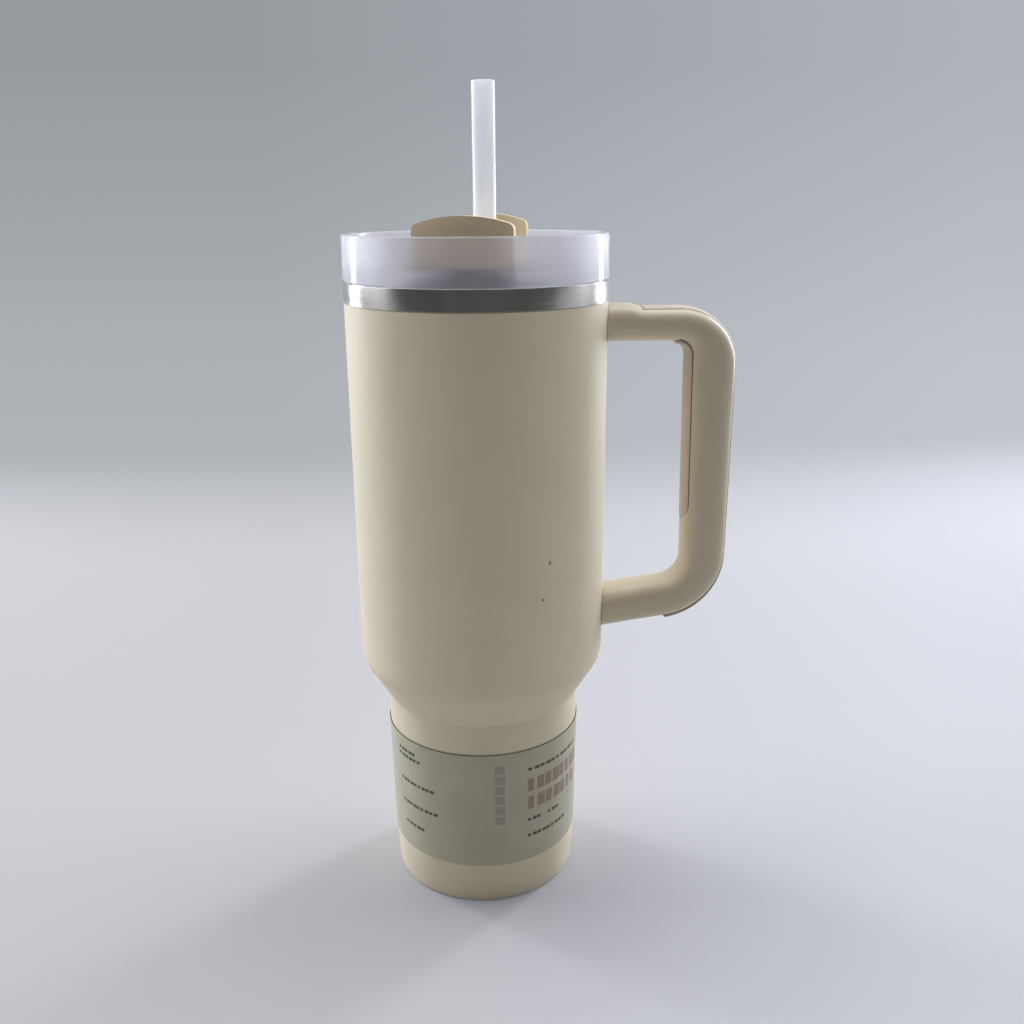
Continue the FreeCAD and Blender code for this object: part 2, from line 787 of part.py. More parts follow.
def straw():
    """Straight drinking straw with softened ends."""
    body = new_body("straw")
    low = "vessel_floor + straw_floor_gap"
    inner = "(straw_radius - straw_wall)"
    revolve(body, [
        (inner, low, "0"),
        ("straw_radius", low, "straw_wall / 3"),
        ("straw_radius", "straw_height", "straw_wall / 3"),
        (inner, "straw_height", "0"),
    ])
    bind(body, **{"Placement.Base.x": STRAW_X, "Placement.Base.y": STRAW_Y})
    return body


# ---- Turning cover -------------------------------------------------------------------------------

UPRIGHT = Vector(0, 0, 1)

# Where the crest of a tab bends: a share of its half width, and of its drop to the shoulders.
TAB_BEND_REACH = 0.55
TAB_BEND_DROP = 0.3


def sector(name, radius, base, height, middle, spread):
    """A slice of a disc about the upright axis, to both sides of a bearing."""
    turn = f"{middle} - ({spread}) / 2"
    return cylinder(name, radius, height, ("0", "0", base), UPRIGHT, turn, Angle=spread)


def notch(name, clearance, base, height):
    """The way that the straw takes out of the cover when the cover turns from it."""
    reach = f"(straw_radius + {clearance})"
    middle = "straw_bearing + notch_angle / 2"
    wide = sector(f"{name}_wide", f"straw_offset + {reach}", base, height, middle, "notch_angle")
    slim = sector(f"{name}_slim", f"straw_offset - {reach}", base, height, middle, "notch_angle")
    end = cylinder(f"{name}_end", reach, height, (STRAW_X, STRAW_Y, base))
    return joined(f"{name}_path", [cut_away(f"{name}_arc", wide, slim), end])


def rotating_cover():
    """Two-winged cover that turns on a central pivot, with an arched finger tab on each wing."""
    wings = [
        sector("front_wing", COVER, COVER_LOW, "cover_thickness", "cover_bearing", "cover_wing_angle"),
        sector("rear_wing", COVER, COVER_LOW, "cover_thickness", "cover_bearing + 180",
               "cover_wing_angle"),
    ]
    hub = cylinder("cover_hub", "cover_hub_radius", "cover_thickness", ("0", "0", COVER_LOW))
    stem = cylinder("cover_stem", "pivot_radius", "pivot_length", ("0", "0", f"{COVER_LOW} - pivot_length"))
    groove = cut_away(
        "stem_groove",
        cylinder("groove_outer", "pivot_radius + clip_groove", "clip_thickness",
                 ("0", "0", f"{CLIP_HIGH} - clip_thickness")),
        cylinder("groove_inner", "pivot_radius - clip_groove", "clip_thickness",
                 ("0", "0", f"{CLIP_HIGH} - clip_thickness")),
    )
    arch = new_body("tab_arch")
    sketch = new_sketch(arch, "XZ_Plane")
    half = "tab_width / 2"
    bend = f"tab_crest - (tab_crest - tab_shoulder) * {TAB_BEND_DROP}"
    outline(sketch, [
        (f"0 - {half}", f"{COVER_LOW} + cover_thickness / 2", "0"),
        (half, f"{COVER_LOW} + cover_thickness / 2", "0"),
        (half, "tab_shoulder", "tab_round"),
        (f"{half} * {TAB_BEND_REACH}", bend, "tab_width"),
        ("0", "tab_crest", "tab_width"),
        (f"0 - {half} * {TAB_BEND_REACH}", bend, "tab_width"),
        (f"0 - {half}", "tab_shoulder", "tab_round"),
    ])
    pad(arch, sketch, f"2 * {COVER} + tab_width")
    arch.Placement = Placement(Vector(), Rotation(UPRIGHT, value("cover_bearing + 90")))
    arch.setExpression("Placement.Rotation.Angle", formula("cover_bearing + 90"))
    outside = cylinder("tab_outside", COVER, "tab_crest - deck_height", ("0", "0", "deck_height"))
    inside = primitive(
        "Part::Cone", "tab_inside", ("0", "0", COVER_LOW),
        Radius1=f"{COVER} - tab_foot_inset", Radius2=f"{COVER} - tab_crest_inset",
        Height=f"tab_crest - {COVER_LOW}",
    )
    tabs = cut_away("tabs", shared("tab_stock", [arch, outside]), inside)
    solid = joined("cover_solid", [*wings, hub, stem, tabs])
    opening = notch("cover_notch", "notch_clearance", "deck_height", "cover_gap + 2 * cover_thickness")
    pocket_stock = seal_form("cover_seal_pocket", "gasket_fit")
    return cut_away("rotating_cover", solid, joined("cover_cuts", [groove, opening, pocket_stock]))


def seal_form(name, margin):
    """The pad that closes the drinking opening, grown by a margin."""
    body = new_body(name)
    middle = f"{COVER_LOW} - seal_proud + (seal_thickness + {margin}) / 2"
    sketch = new_sketch(body, "XY_Plane", offset=middle, turn="cover_bearing")
    deep = f"(drink_depth / 2 + seal_margin + {margin})"
    wide = f"(drink_width / 2 + seal_margin + {margin})"
    outline(sketch, [
        (f"{DRINK} {radial} {deep}", f"{side} {wide}", f"drink_round + seal_margin + {margin}")
        for radial, side in (("-", "0 -"), ("+", "0 -"), ("+", "0 +"), ("-", "0 +"))
    ])
    pad(body, sketch, f"seal_thickness + {margin}")
    return body


def cover_seal():
    """Silicone pad set into the front wing, over the drinking opening."""
    return seal_form("cover_seal", "0")


def pivot_clip():
    """Snap ring that keeps the cover's pivot in the hub."""
    low = f"{CLIP_HIGH} - clip_thickness + pivot_clearance"
    thickness = "clip_thickness - 2 * pivot_clearance"
    disc = cylinder("clip_disc", "clip_radius", thickness, ("0", "0", low))
    hole = cylinder("clip_hole", "pivot_radius - clip_groove + pivot_clearance", "3 * clip_thickness",
                    ("0", "0", f"{low} - clip_thickness"))
    return cut_away("pivot_clip", disc, hole)


def main():
    blank = handle_blank()
    parts = [
        outer_shell(), inner_vessel(), base_plate(), getter_capsule(), vacuum_seal_bead(), paper_sleeve(),
        handle_frame(blank), inner_grip_insert(blank), outer_grip_insert(blank),
        handle_bracket("upper"), handle_bracket("lower"), handle_washers(), handle_screws(),
        lid_body(), lid_gasket(), pivot_oring(), straw_grommet(), straw(),
        rotating_cover(), cover_seal(), pivot_clip(),
    ]
    document.recompute()
    failed = [item.Name for item in document.Objects if {"Invalid", "Error"} & set(item.State)]
    failed += [part.Label for part in parts if part.Shape.isNull() or not part.Shape.isValid()]
    if failed:
        raise RuntimeError(f"these objects failed: {failed}")
    os.makedirs("parts", exist_ok=True)
    for part in parts:
        part.Shape.exportStep(f"parts/{part.Label}.step")
        print(f"{part.Label}: {len(part.Shape.Solids)} solid(s), {part.Shape.Volume:.1f} mm3")


main()
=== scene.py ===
"""Looks for a handled drinking tumbler: its coat, steel, clear lid, cover, straw, paper sleeve and grips."""

import math

import bmesh
import bpy
from bpy.props import FloatProperty, FloatVectorProperty, PointerProperty
from bpy.types import NodeSocket, Operator, Panel, PropertyGroup
from mathutils import Matrix, Vector


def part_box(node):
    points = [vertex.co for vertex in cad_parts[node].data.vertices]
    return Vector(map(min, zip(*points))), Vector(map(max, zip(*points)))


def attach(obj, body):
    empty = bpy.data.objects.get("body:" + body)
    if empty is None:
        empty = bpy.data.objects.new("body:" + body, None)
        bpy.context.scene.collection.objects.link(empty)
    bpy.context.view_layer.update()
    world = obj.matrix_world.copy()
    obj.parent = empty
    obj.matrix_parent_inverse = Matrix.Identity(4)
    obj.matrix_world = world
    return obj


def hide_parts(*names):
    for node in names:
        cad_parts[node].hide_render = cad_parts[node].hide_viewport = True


bl_info = {
    "name": "Handled tumbler",
    "version": (1, 0, 0),
    "blender": (4, 5, 0),
    "location": "3D View > Sidebar > Tumbler",
    "description": "Dresses a handled drinking tumbler with its finishes and small forms",
    "category": "Object",
}

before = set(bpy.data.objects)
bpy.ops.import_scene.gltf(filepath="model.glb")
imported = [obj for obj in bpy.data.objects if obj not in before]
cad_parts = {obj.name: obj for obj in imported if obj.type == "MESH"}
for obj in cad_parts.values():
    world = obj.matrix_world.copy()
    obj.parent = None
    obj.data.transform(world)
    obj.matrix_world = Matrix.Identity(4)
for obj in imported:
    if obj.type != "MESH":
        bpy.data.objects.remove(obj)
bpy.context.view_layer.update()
MM = 0.001

# Nodes of the frame that give the default sizes.
_, SHELL_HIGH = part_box("outer_shell")
_, VESSEL_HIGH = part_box("inner_vessel")
SLEEVE_LOW, SLEEVE_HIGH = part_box("paper_sleeve")
HANDLE_LOW, HANDLE_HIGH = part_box("handle_frame")
LID_LOW, LID_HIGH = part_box("lid_body")
STRAW_LOW, STRAW_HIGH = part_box("straw")
STRAW_PLACE = (STRAW_LOW + STRAW_HIGH) / 2


# ---- Properties ----


def length(description, default):
    """A length in metres, shown in the scene's own units."""
    return number(description, default, unit="LENGTH", precision=5)


def mm(description, millimetres):
    """A length, given here in millimetres."""
    return length(description, millimetres * MM)


def angle(description, default):
    """An angle, given here in degrees."""
    return number(description, math.radians(default), subtype="ANGLE")


def number(description, default, **settings):
    """A plain number; the panel names it after its attribute."""
    return FloatProperty(description=description, default=default, **settings)


def colour(description, default):
    """A surface colour, scene linear."""
    return FloatVectorProperty(
        description=description, default=default, size=3, min=0.0, max=1.0, subtype="COLOR"
    )


class TumblerCup(PropertyGroup):
    """Sizes of the steel cup and its paper sleeve."""

    body_radius: length("Painted body above the shoulder", SHELL_HIGH.y)
    shell_wall: mm("Thickness of each steel wall", 0.8)
    vacuum_gap: mm("Space between the two walls", 3.0)
    shell_edge: mm("Slanted edge of the painted shell", 0.25)
    shell_height: length("Top of the painted shell", SHELL_HIGH.z)
    shoulder_height: mm("Where the body turns into the cone", 98.0)
    shoulder_angle: angle("Lean of the cone from upright", 31.0)
    shoulder_round: mm("Radius of the shoulder's bend", 14.0)
    barrel_radius: mm("Slim barrel at the neck", 39.15)
    taper_height: mm("Where the barrel begins to taper", 70.0)
    barrel_low_radius: mm("Barrel just above the foot", 38.2)
    barrel_low_height: mm("Height of that size", 16.0)
    neck_round: mm("Radius where the cone meets the barrel", 3.0)
    foot_radius: mm("Radius at the ground", 37.4)
    foot_round: mm("Radius of the foot's edge", 1.3)
    foot_lip: mm("Width of the turned-in foot", 4.4)
    rim_height: length("Top of the folded steel rim", VESSEL_HIGH.z)
    band_radius: length("Outside of the bare steel band", VESSEL_HIGH.y)
    rim_round: mm("Radius of the folded rim's inner edge", 1.6)
    band_edge: mm("Slanted lower edge of the steel band", 0.2)
    floor_round: mm("Radius round the vessel's floor", 7.0)
    vessel_floor: mm("Inside floor of the vessel", 9.0)
    sleeve_thickness: mm("Thickness of the paper", 0.25)
    sleeve_gap: mm("Gap between the barrel and the paper", 0.1)
    lap: mm("How far the lap stands out", 0.12)
    seam_depth: mm("Dark line under the lid", 0.55)
    # Painted shade: height of the dark ring along the paper's upper edge, where the sleeve meets the body.
    edge_shade_height: mm("Darker line along the paper's upper edge", 0.22)


class TumblerHandle(PropertyGroup):
    """Sizes of the handle and its soft inserts."""

    width: length("Handle width, side to side", HANDLE_HIGH.y - HANDLE_LOW.y)
    fullness: number("Section shape: 2 is an ellipse, more is squarer", 2.55, min=2.0)
    saddle_gap: mm("Gap between the arms and the cup", 0.15)
    arm_low: mm("Underside of the upper arm", 223.05)
    arm_high: mm("Top of the upper arm past the collar", 235.9)
    collar_high: mm("Top of the arm beside the cup", 237.1)
    collar_reach: mm("Where the collar ends", 57.5)
    collar_ramp: mm("Length of the step down", 4.0)
    outer_high: mm("Back of the grip at the top", 98.96)
    outer_low: mm("Back of the grip at the bottom", 98.4)
    inner_high: mm("Inside of the grip at the top", 79.3)
    inner_low: mm("Inside of the grip at the bottom", 81.0)
    outer_corner_high: mm("Upper outer corner, radius", 22.5)
    outer_corner_low: mm("Lower outer corner, radius", 28.0)
    inner_corner_high: mm("Upper inner corner, radius", 4.5)
    inner_corner_low: mm("Lower inner corner, radius", 9.0)
    lower_reach: mm("Where the lower arm's height is taken", 50.0)
    lower_height: mm("Middle of the lower arm there", 115.35)
    lower_depth: mm("Thickness of the lower arm", 15.6)
    lower_angle: angle("Rise of the lower arm", 8.7)
    insert_width: mm("Width of the inner grip strip", 14.0)
    insert_low: mm("Lower end of the inner strip", 153.5)
    back_insert_width: mm("Width of the outer grip strip", 12.0)
    back_insert_start: mm("Where the outer strip starts", 62.0)
    # The dark line round an insert, sized here and below, is painted shade: a dark sheet standing for the
    # shadow in the gap.
    seam: mm("Width of the dark line round an insert", 0.35)
    insert_depth: mm("Thickness of an insert", 1.0)
    gap_shade_proud: mm("How far the dark line stands out", 0.03)
    seam_depth: mm("Thickness of the dark line", 0.3)
    proud: mm("How far an insert stands out", 0.12)


class TumblerLid(PropertyGroup):
    """Sizes of the lid, cover and straw."""

    radius: length("Outside of the lid at its foot", LID_HIGH.y)
    draft: mm("How much slimmer the top is", 0.3)
    wall: mm("Thickness of the rim wall", 2.0)
    seat: mm("Underside of the flange", 246.9)
    top: length("Top of the rim", LID_HIGH.z)
    lip_round: mm("Radius of the rim's edges", 0.8)
    deck: mm("Top of the sunk deck", 252.0)
    deck_thickness: mm("Thickness of the deck", 2.4)
    plug_radius: mm("Outside of the plug", 43.8)
    plug_wall: mm("Thickness of the plug", 2.4)
    plug_low: length("Lower end of the plug", LID_LOW.z)
    groove_low: mm("Lower side of the gasket groove", 235.0)
    groove_width: mm("Height of the gasket groove", 5.0)
    groove_depth: mm("Depth of the gasket groove", 1.4)
    hub_radius: mm("Boss round the pivot", 9.0)
    hub_depth: mm("Depth of the boss under the deck's top", 6.2)
    pivot_bore: mm("Radius of the pivot's hole", 4.6)
    pivot_recess: mm("Radius of the seal's recess", 6.5)
    recess_depth: mm("Depth of the seal's recess", 2.0)
    grommet_hole: mm("Radius of the straw's hole", 6.0)
    grommet_seat: mm("Radius of the grommet's recess", 7.2)
    seat_depth: mm("Depth of the grommet's recess", 0.9)
    cover_bearing: angle("Direction of the cover's front wing", -96.2)
    drink_centre: mm("Distance of the drinking opening", 37.0)
    drink_width: mm("Width of the drinking opening", 17.0)
    drink_depth: mm("Depth of the drinking opening", 8.0)
    drink_round: mm("Corner radius of the opening", 3.6)
    vent_centre: mm("Distance of the vent hole", 38.0)
    vent_radius: mm("Radius of the vent hole", 1.3)
    cover_edge: mm("Radius of the cover's soft edges", 1.5)
    straw_radius: length("Outside of the straw", (STRAW_HIGH.x - STRAW_LOW.x) / 2)
    straw_wall: mm("Thickness of the straw", 0.7)


class TumblerFinish(PropertyGroup):
    """Colours of the tumbler's finishes."""

    coat: colour("Powder coat on the steel", (0.825, 0.74, 0.565))
    moulding: colour("Cream plastic of the handle", (0.71, 0.63, 0.475))
    cover: colour("Tan plastic of the turning cover", (0.86, 0.71, 0.48))
    grip: colour("Soft strips on the handle", (0.60, 0.485, 0.395))
    # Painted shade: the dark sheets round the soft strips stand for the shadow in their gaps.
    seam: colour("Shadowed line round each strip", (0.16, 0.12, 0.09))
    steel: colour("Bare brushed steel", (0.51, 0.495, 0.475))
    clear: colour("Milky plastic of the lid", (0.905, 0.90, 0.95))
    straw: colour("Milky plastic of the straw", (0.975, 0.985, 1.0))
    silicone: colour("Gasket, grommet and seals", (0.80, 0.80, 0.81))
    paper: colour("Sleeve round the barrel", (0.56, 0.535, 0.42))
    scuff: colour("Two small scuffs in the coat", (0.22, 0.20, 0.17))
    # Painted shade, not the paper's own colour: the dark ring over the paper's upper edge.
    card_core: colour("Cut edge of the paper", (0.30, 0.26, 0.19))
    ink_dark: colour("Dark print on the sleeve", (0.10, 0.10, 0.08))
    ink_sage: colour("Tone on tone print on the sleeve", (0.41, 0.39, 0.32))
    ink_rose: colour("Rose print on the sleeve", (0.36, 0.27, 0.22))


class TumblerStage(PropertyGroup):
    """Camera, lamps and background."""

    distance: mm("Camera to the cup's axis, level", 379.14)
    height: mm("Camera above the floor", 272.91)
    pitch: angle("How far the camera looks down", 17.23)
    yaw: angle("How far the camera looks to the right", 1.92)
    roll: angle("Tilt of the camera", 0.41)
    lens: number("Focal length", 34.9, unit="CAMERA")
    lamp_distance: length("Strip lamps to the cup's axis", 1.25)
    lamp_strength: number("Power of a strip lamp", 8.3, unit="POWER")
    room: number("Light from all round", 0.11)
    left_wall: number("Light from the left and behind", 1.70)
    right_wall: number("Light from the right and behind", 1.35)
    back_ceiling: number("Light from above, behind", 1.6)
    front_ceiling: number("Light from above, in front", 0.28)
    floor_edge: length("Where the floor turns into the backdrop", 0.50)
    fade_before: length("Start of the fade, before that edge", 0.15)
    fade_after: length("End of the fade, behind that edge", 0.30)
    fan_start: length("Where the tones part, behind the camera", 0.02)
    fan_nearest: length("Least depth of that fan", 0.28)
    lamp_height: length("Middle of a strip lamp", 0.42)
    lamp_aim: length("Height that the lamps face", 0.15)
    lamp_width: length("Width of a strip lamp", 0.2)
    lamp_length: length("Height of a strip lamp", 0.9)
    floor: colour("Pale floor under the lamps", (0.395, 0.385, 0.38))
    floor_left: colour("Seen besides the lamplight", (0.06, 0.06, 0.08))
    floor_right: colour("Seen besides the lamplight", (0.13, 0.145, 0.20))
    left_high: colour("Backdrop, high left", (0.305, 0.328, 0.350))
    right_high: colour("Backdrop, high right", (0.430, 0.455, 0.505))
    left_low: colour("Backdrop, low left", (0.43, 0.455, 0.48))
    right_low: colour("Backdrop, low right", (0.53, 0.555, 0.61))


GROUPS = {
    "tumbler_cup": TumblerCup,
    "tumbler_handle": TumblerHandle,
    "tumbler_lid": TumblerLid,
    "tumbler_finish": TumblerFinish,
    "tumbler_stage": TumblerStage,
}


# ---- Mesh helpers ----


def as_mesh(name, bm):
    """Turns a bmesh into a mesh."""
    mesh = bpy.data.meshes.new(name)
    bm.to_mesh(mesh)
    bm.free()
    return mesh


def stand(name, data):
    """Puts a mesh, lamp or camera into the scene."""
    piece = bpy.data.objects.new(name, data)
    bpy.context.collection.objects.link(piece)
    return piece


def finish_piece(name, bm, material, body, replaced=(), sharp=35.0):
    """Makes a smooth-shaded object of a bmesh and lets it ride on its body."""
    mesh = as_mesh(name, bm)
    mesh.shade_smooth()
    mesh.set_sharp_from_angle(angle=math.radians(sharp))
    mesh.materials.append(material)
    piece = stand(name, mesh)
    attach(piece, body)
    if replaced:
        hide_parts(*replaced)
    return piece


def bend(before, corner, after, radius, steps):
    """Points of the arc that rounds a corner between two straight runs."""
    inward, outward = (before - corner).normalized(), (after - corner).normalized()
    half = inward.angle(outward) / 2
    middle = corner + (inward + outward).normalized() * (radius / math.sin(half))
    start = corner + inward * (radius / math.tan(half)) - middle
    end = corner + outward * (radius / math.tan(half)) - middle
    swing = math.atan2(start.cross(end), start.dot(end))
    return [middle + Matrix.Rotation(swing * i / steps, 2) @ start for i in range(steps + 1)]


def rounded(corners, steps=6):
    """A chain of points through corners, each a radius and a height and, where it is rounded, a rounding."""
    places = [Vector(corner[:2]) for corner in corners]
    chain = []
    for i, (place, corner) in enumerate(zip(places, corners)):
        if len(corner) > 2:
            chain += bend(places[i - 1], place, places[i + 1], corner[2], steps)
        else:
            chain.append(place)
    return chain


def lathe(corners, steps=192, closed=True):
    """Spins a profile once round the upright axis; an open profile is closed on itself or at its poles."""
    chain = rounded(corners)
    bm = bmesh.new()
    verts = [bm.verts.new((place.x, 0, place.y)) for place in chain]
    edges = [bm.edges.new(pair) for pair in zip(verts, verts[1:])]
    if closed:
        edges.append(bm.edges.new((verts[-1], verts[0])))
    bmesh.ops.spin(
        bm, geom=verts + edges, cent=(0, 0, 0), axis=(0, 0, 1), angle=math.tau, steps=steps, use_merge=True
    )
    bmesh.ops.remove_doubles(bm, verts=bm.verts, dist=1e-6)
    bmesh.ops.recalc_face_normals(bm, faces=bm.faces)
    return bm


def rod(radius, low, high, place=(0, 0), segments=64):
    """A closed round bar, used to cut holes."""
    bm = bmesh.new()
    middle = Matrix.Translation((place[0], place[1], (low + high) / 2))
    bmesh.ops.create_cone(
        bm, cap_ends=True, segments=segments, radius1=radius, radius2=radius, depth=high - low, matrix=middle
    )
    return bm


def carve(bm, cutters):
    """Takes the cutters out of a closed mesh."""
    shapes = [stand("carving", as_mesh("carving", shape)) for shape in (bm, *cutters)]
    stock, *tools = shapes
    for tool in tools:
        cut = stock.modifiers.new("Cut", "BOOLEAN")
        cut.operation = "DIFFERENCE"
        cut.solver = "EXACT"
        cut.object = tool
    bpy.context.view_layer.update()
    graph = bpy.context.evaluated_depsgraph_get()
    result = bmesh.new()
    result.from_object(stock, graph)
    for shape in shapes:
        bpy.data.meshes.remove(shape.data)
    return result


def merged_copy(node):
    """The frame's node as one welded mesh."""
    bm = bmesh.new()
    bm.from_mesh(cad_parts[node].data)
    bmesh.ops.remove_doubles(bm, verts=bm.verts, dist=2e-6)
    bmesh.ops.dissolve_limit(bm, angle_limit=math.radians(1.0), verts=bm.verts, edges=bm.edges)
    return bm


# ---- Materials ----


class Nodes:
    """Short ways to build the node tree of a material or a world."""

    def __init__(self, owner):
        owner.use_nodes = True
        self.owner = owner
        self.nodes = owner.node_tree.nodes

    def feed(self, source, socket):
        """Links a socket to a source, or gives it the source's number or colour."""
        if isinstance(source, NodeSocket):
            self.owner.node_tree.links.new(source, socket)
        elif socket.type == "RGBA":
            socket.default_value = (*source, 1.0)
        else:
            socket.default_value = source

    def add(self, kind, inputs=None, **settings):
        """Adds a node, sets it up and feeds its inputs."""
        node = self.nodes.new(f"ShaderNode{kind}")
        for name, setting in settings.items():
            setattr(node, name, setting)
        for name, source in (inputs or {}).items():
            self.feed(source, node.inputs[name])
        return node

    def calculate(self, operation, first, second):
        """One sum, product, quotient or larger number."""
        return self.add("Math", {0: first, 1: second}, operation=operation).outputs[0]

    def spread(self, value, start, end, low=0.0, high=1.0, **settings):
        """Carries a number from the span between start and end to the span between low and high."""
        spans = {"Value": value, "From Min": start, "From Max": end, "To Min": low, "To Max": high}
        return self.add("MapRange", spans, **settings).outputs["Result"]

    def ease(self, value, start, end):
        """Rises softly from none to one."""
        return self.spread(value, start, end, interpolation_type="SMOOTHSTEP")

    def blend(self, factor, low, high):
        """Blends two colours or colour sockets."""
        mix = self.add("Mix", data_type="RGBA")
        for name, source in (("Factor", factor), ("A", low), ("B", high)):
            self.feed(source, next(item for item in mix.inputs if item.name == name and item.enabled))
        return next(item for item in mix.outputs if item.enabled)

    def show(self, factor, first, second, output):
        """Mixes two shaders into the tree's output."""
        mix = self.add("MixShader", {0: factor, 1: first.outputs[0], 2: second.outputs[0]})
        self.feed(mix.outputs[0], output.inputs["Surface"])


class Surface(Nodes):
    """A solid's material: its shader, and grains placed by the object's own coordinates."""

    def __init__(self, name):
        super().__init__(bpy.data.materials.new(name))
        self.shader = self.nodes["Principled BSDF"]
        self.where = self.add("TexCoord").outputs["Object"]

    def put(self, sources):
        """Feeds the shader's own sockets, with grains or one number each, and gives the material."""
        for name, source in sources.items():
            self.feed(source, self.shader.inputs[name])
        return self.owner

    def noise(self, scale, detail=2.0, roughness=0.5, stretch=(1, 1, 1)):
        """Grain of a given fineness per metre, stretched along the axes."""
        placed = self.add("Mapping", {"Vector": self.where, "Scale": stretch}).outputs["Vector"]
        grain = {"Vector": placed, "Scale": scale, "Detail": detail, "Roughness": roughness}
        return self.add("TexNoise", grain).outputs["Fac"]

    def between(self, grain, low, high):
        """Turns a 0 to 1 grain into a number between two limits."""
        return self.spread(grain, 0.0, 1.0, low, high)

    def tint(self, grain, low, high, start=0.35, end=0.65):
        """Blends two colours by a grain."""
        ramp = self.add("ValToRGB", {"Fac": grain})
        for stop, position, tone in zip(ramp.color_ramp.elements, (start, end), (low, high)):
            stop.position = position
            stop.color = (*tone, 1.0)
        return ramp.outputs["Color"]

    def tones(self, grain, base, dark, light, *span):
        """Blends a darker and a lighter tone of a colour by a grain."""
        low, high = (tuple(min(1.0, part * factor) for part in base) for factor in (dark, light))
        return self.tint(grain, low, high, *span)

    def bump(self, height, depth, strength):
        """A surface raised by a grain, to a depth in metres."""
        raised = self.add("Bump", {"Height": height, "Distance": depth, "Strength": strength})
        return raised.outputs["Normal"]


def powder_coat(base):
    """Matt powder coat: a fine pebbled skin with slight tone changes and a soft sheen."""
    coat = Surface("powder_coat")
    pebbles = coat.noise(2600.0, 2.0, 0.6)
    return coat.put({
        "Base Color": coat.tones(coat.noise(55.0, 3.0), base, 0.985, 1.01),
        "Roughness": coat.between(pebbles, 0.46, 0.62),
        "Specular IOR Level": 0.42,
        "Normal": coat.bump(pebbles, 0.06 * MM, 0.55),
    })


def moulded_plastic(name, base, roughness=0.36):
    """Satin moulded plastic with a barely visible spark-eroded texture."""
    plastic = Surface(name)
    grain = plastic.noise(3800.0, 1.0)
    return plastic.put({
        "Base Color": plastic.tones(plastic.noise(30.0), base, 0.985, 1.01),
        "Roughness": plastic.between(grain, roughness - 0.05, roughness + 0.07),
        "Subsurface Weight": 0.06,
        "Subsurface Radius": (0.003, 0.002, 0.001),
        "Subsurface Scale": 0.5,
        "Normal": plastic.bump(grain, 0.03 * MM, 0.4),
    })


def soft_grip(name, base):
    """Soft-touch strip: very matt, with a fine even grain."""
    grip = Surface(name)
    grain = grip.noise(4200.0)
    return grip.put({
        "Base Color": grip.tones(grip.noise(140.0, 3.0), base, 0.95, 1.03),
        "Roughness": grip.between(grain, 0.62, 0.78),
        "Sheen Weight": 0.15,
        "Normal": grip.bump(grain, 0.04 * MM, 0.5),
    })


def brushed_steel(base):
    """Steel brushed round the axis: fine level lines that spread its reflections upwards."""
    steel = Surface("brushed_steel")
    lines = steel.noise(1.0, 3.0, 0.7, (24.0, 24.0, 5200.0))
    broad = steel.noise(1.0, 2.0, 0.5, (18.0, 18.0, 420.0))
    patches = steel.noise(1.0, 2.0, 0.5, (85.0, 85.0, 1.5))
    dull = steel.tones(lines, base, 0.88, 1.04, 0.3, 0.7)
    bright = steel.tones(lines, base, 1.08, 1.26, 0.3, 0.7)
    return steel.put({
        "Base Color": steel.blend(steel.spread(patches, 0.4, 0.66), dull, bright),
        "Roughness": steel.between(broad, 0.10, 0.23),
        "Metallic": 1.0,
        "Anisotropic": 0.5,
        "Tangent": steel.add("Tangent", direction_type="RADIAL", axis="Z").outputs["Tangent"],
        "Normal": steel.bump(lines, 0.02 * MM, 0.35),
    })


def plain_steel():
    """Satin steel for brackets, screws and washers."""
    steel = Surface("plain_steel")
    grain = steel.noise(900.0, 3.0)
    return steel.put({
        "Base Color": steel.tint(grain, (0.46, 0.46, 0.47), (0.58, 0.58, 0.59)),
        "Roughness": steel.between(grain, 0.30, 0.45),
        "Metallic": 1.0,
    })


def milky_plastic(name, base, transmission, roughness, haze_through):
    """Milky clear plastic: it blurs what is behind it, glows with its light and keeps a glossy skin."""
    plastic = Surface(name)
    plastic.put({
        "Base Color": plastic.tones(plastic.noise(90.0), base, 0.975, 1.02),
        "Roughness": roughness,
        "IOR": 1.46,
        "Transmission Weight": transmission,
        "Coat Weight": 0.5,
        "Coat Roughness": 0.08,
        "Normal": plastic.bump(plastic.noise(260.0), 0.02 * MM, 0.15),
    })
    veil = plastic.add("BsdfTranslucent", {"Color": base})
    plastic.show(haze_through, plastic.shader, veil, plastic.nodes["Material Output"])
    return plastic.owner


def silicone(base):
    """Soft translucent silicone."""
    rubber = Surface("silicone")
    haze = rubber.noise(300.0)
    return rubber.put({
        "Base Color": rubber.tones(haze, base, 0.94, 1.03),
        "Roughness": rubber.between(haze, 0.42, 0.58),
        "Subsurface Weight": 0.25,
        "Subsurface Radius": (0.002, 0.002, 0.002),
    })


def card_paper(name, base):
    """Uncoated card: short fibres, faint clouds of tone and a dry surface."""
    card = Surface(name)
    fibres = card.noise(1.0, 4.0, 0.65, (1500.0, 1500.0, 620.0))
    grains = {"Factor": 0.35, "A": card.noise(70.0, 3.0), "B": fibres}
    mixed = card.add("Mix", grains, data_type="FLOAT").outputs["Result"]
    return card.put({
        "Base Color": card.tones(mixed, base, 0.93, 1.05, 0.3, 0.7),
        "Roughness": card.between(fibres, 0.66, 0.82),
        "Specular IOR Level": 0.3,
        "Normal": card.bump(fibres, 0.03 * MM, 0.4),
    })


def ink(name, base):
    """Thin printed ink; the paper's fibres break it up a little."""
    film = Surface(name)
    return film.put({"Base Color": film.tones(film.noise(1400.0), base, 0.94, 1.08), "Roughness": 0.7})


def dark_glass():
    """The fused bead below the base."""
    glass = Surface("fused_bead")
    tone = glass.tint(glass.noise(1200.0), (0.10, 0.09, 0.08), (0.18, 0.16, 0.14))
    return glass.put({"Base Color": tone, "Roughness": 0.35})


# ---- Pieces ----

# Thickness of a printed sheet, and how far its face stands off the surface below it.
INK, INK_OUT = 0.02 * MM, 0.03 * MM

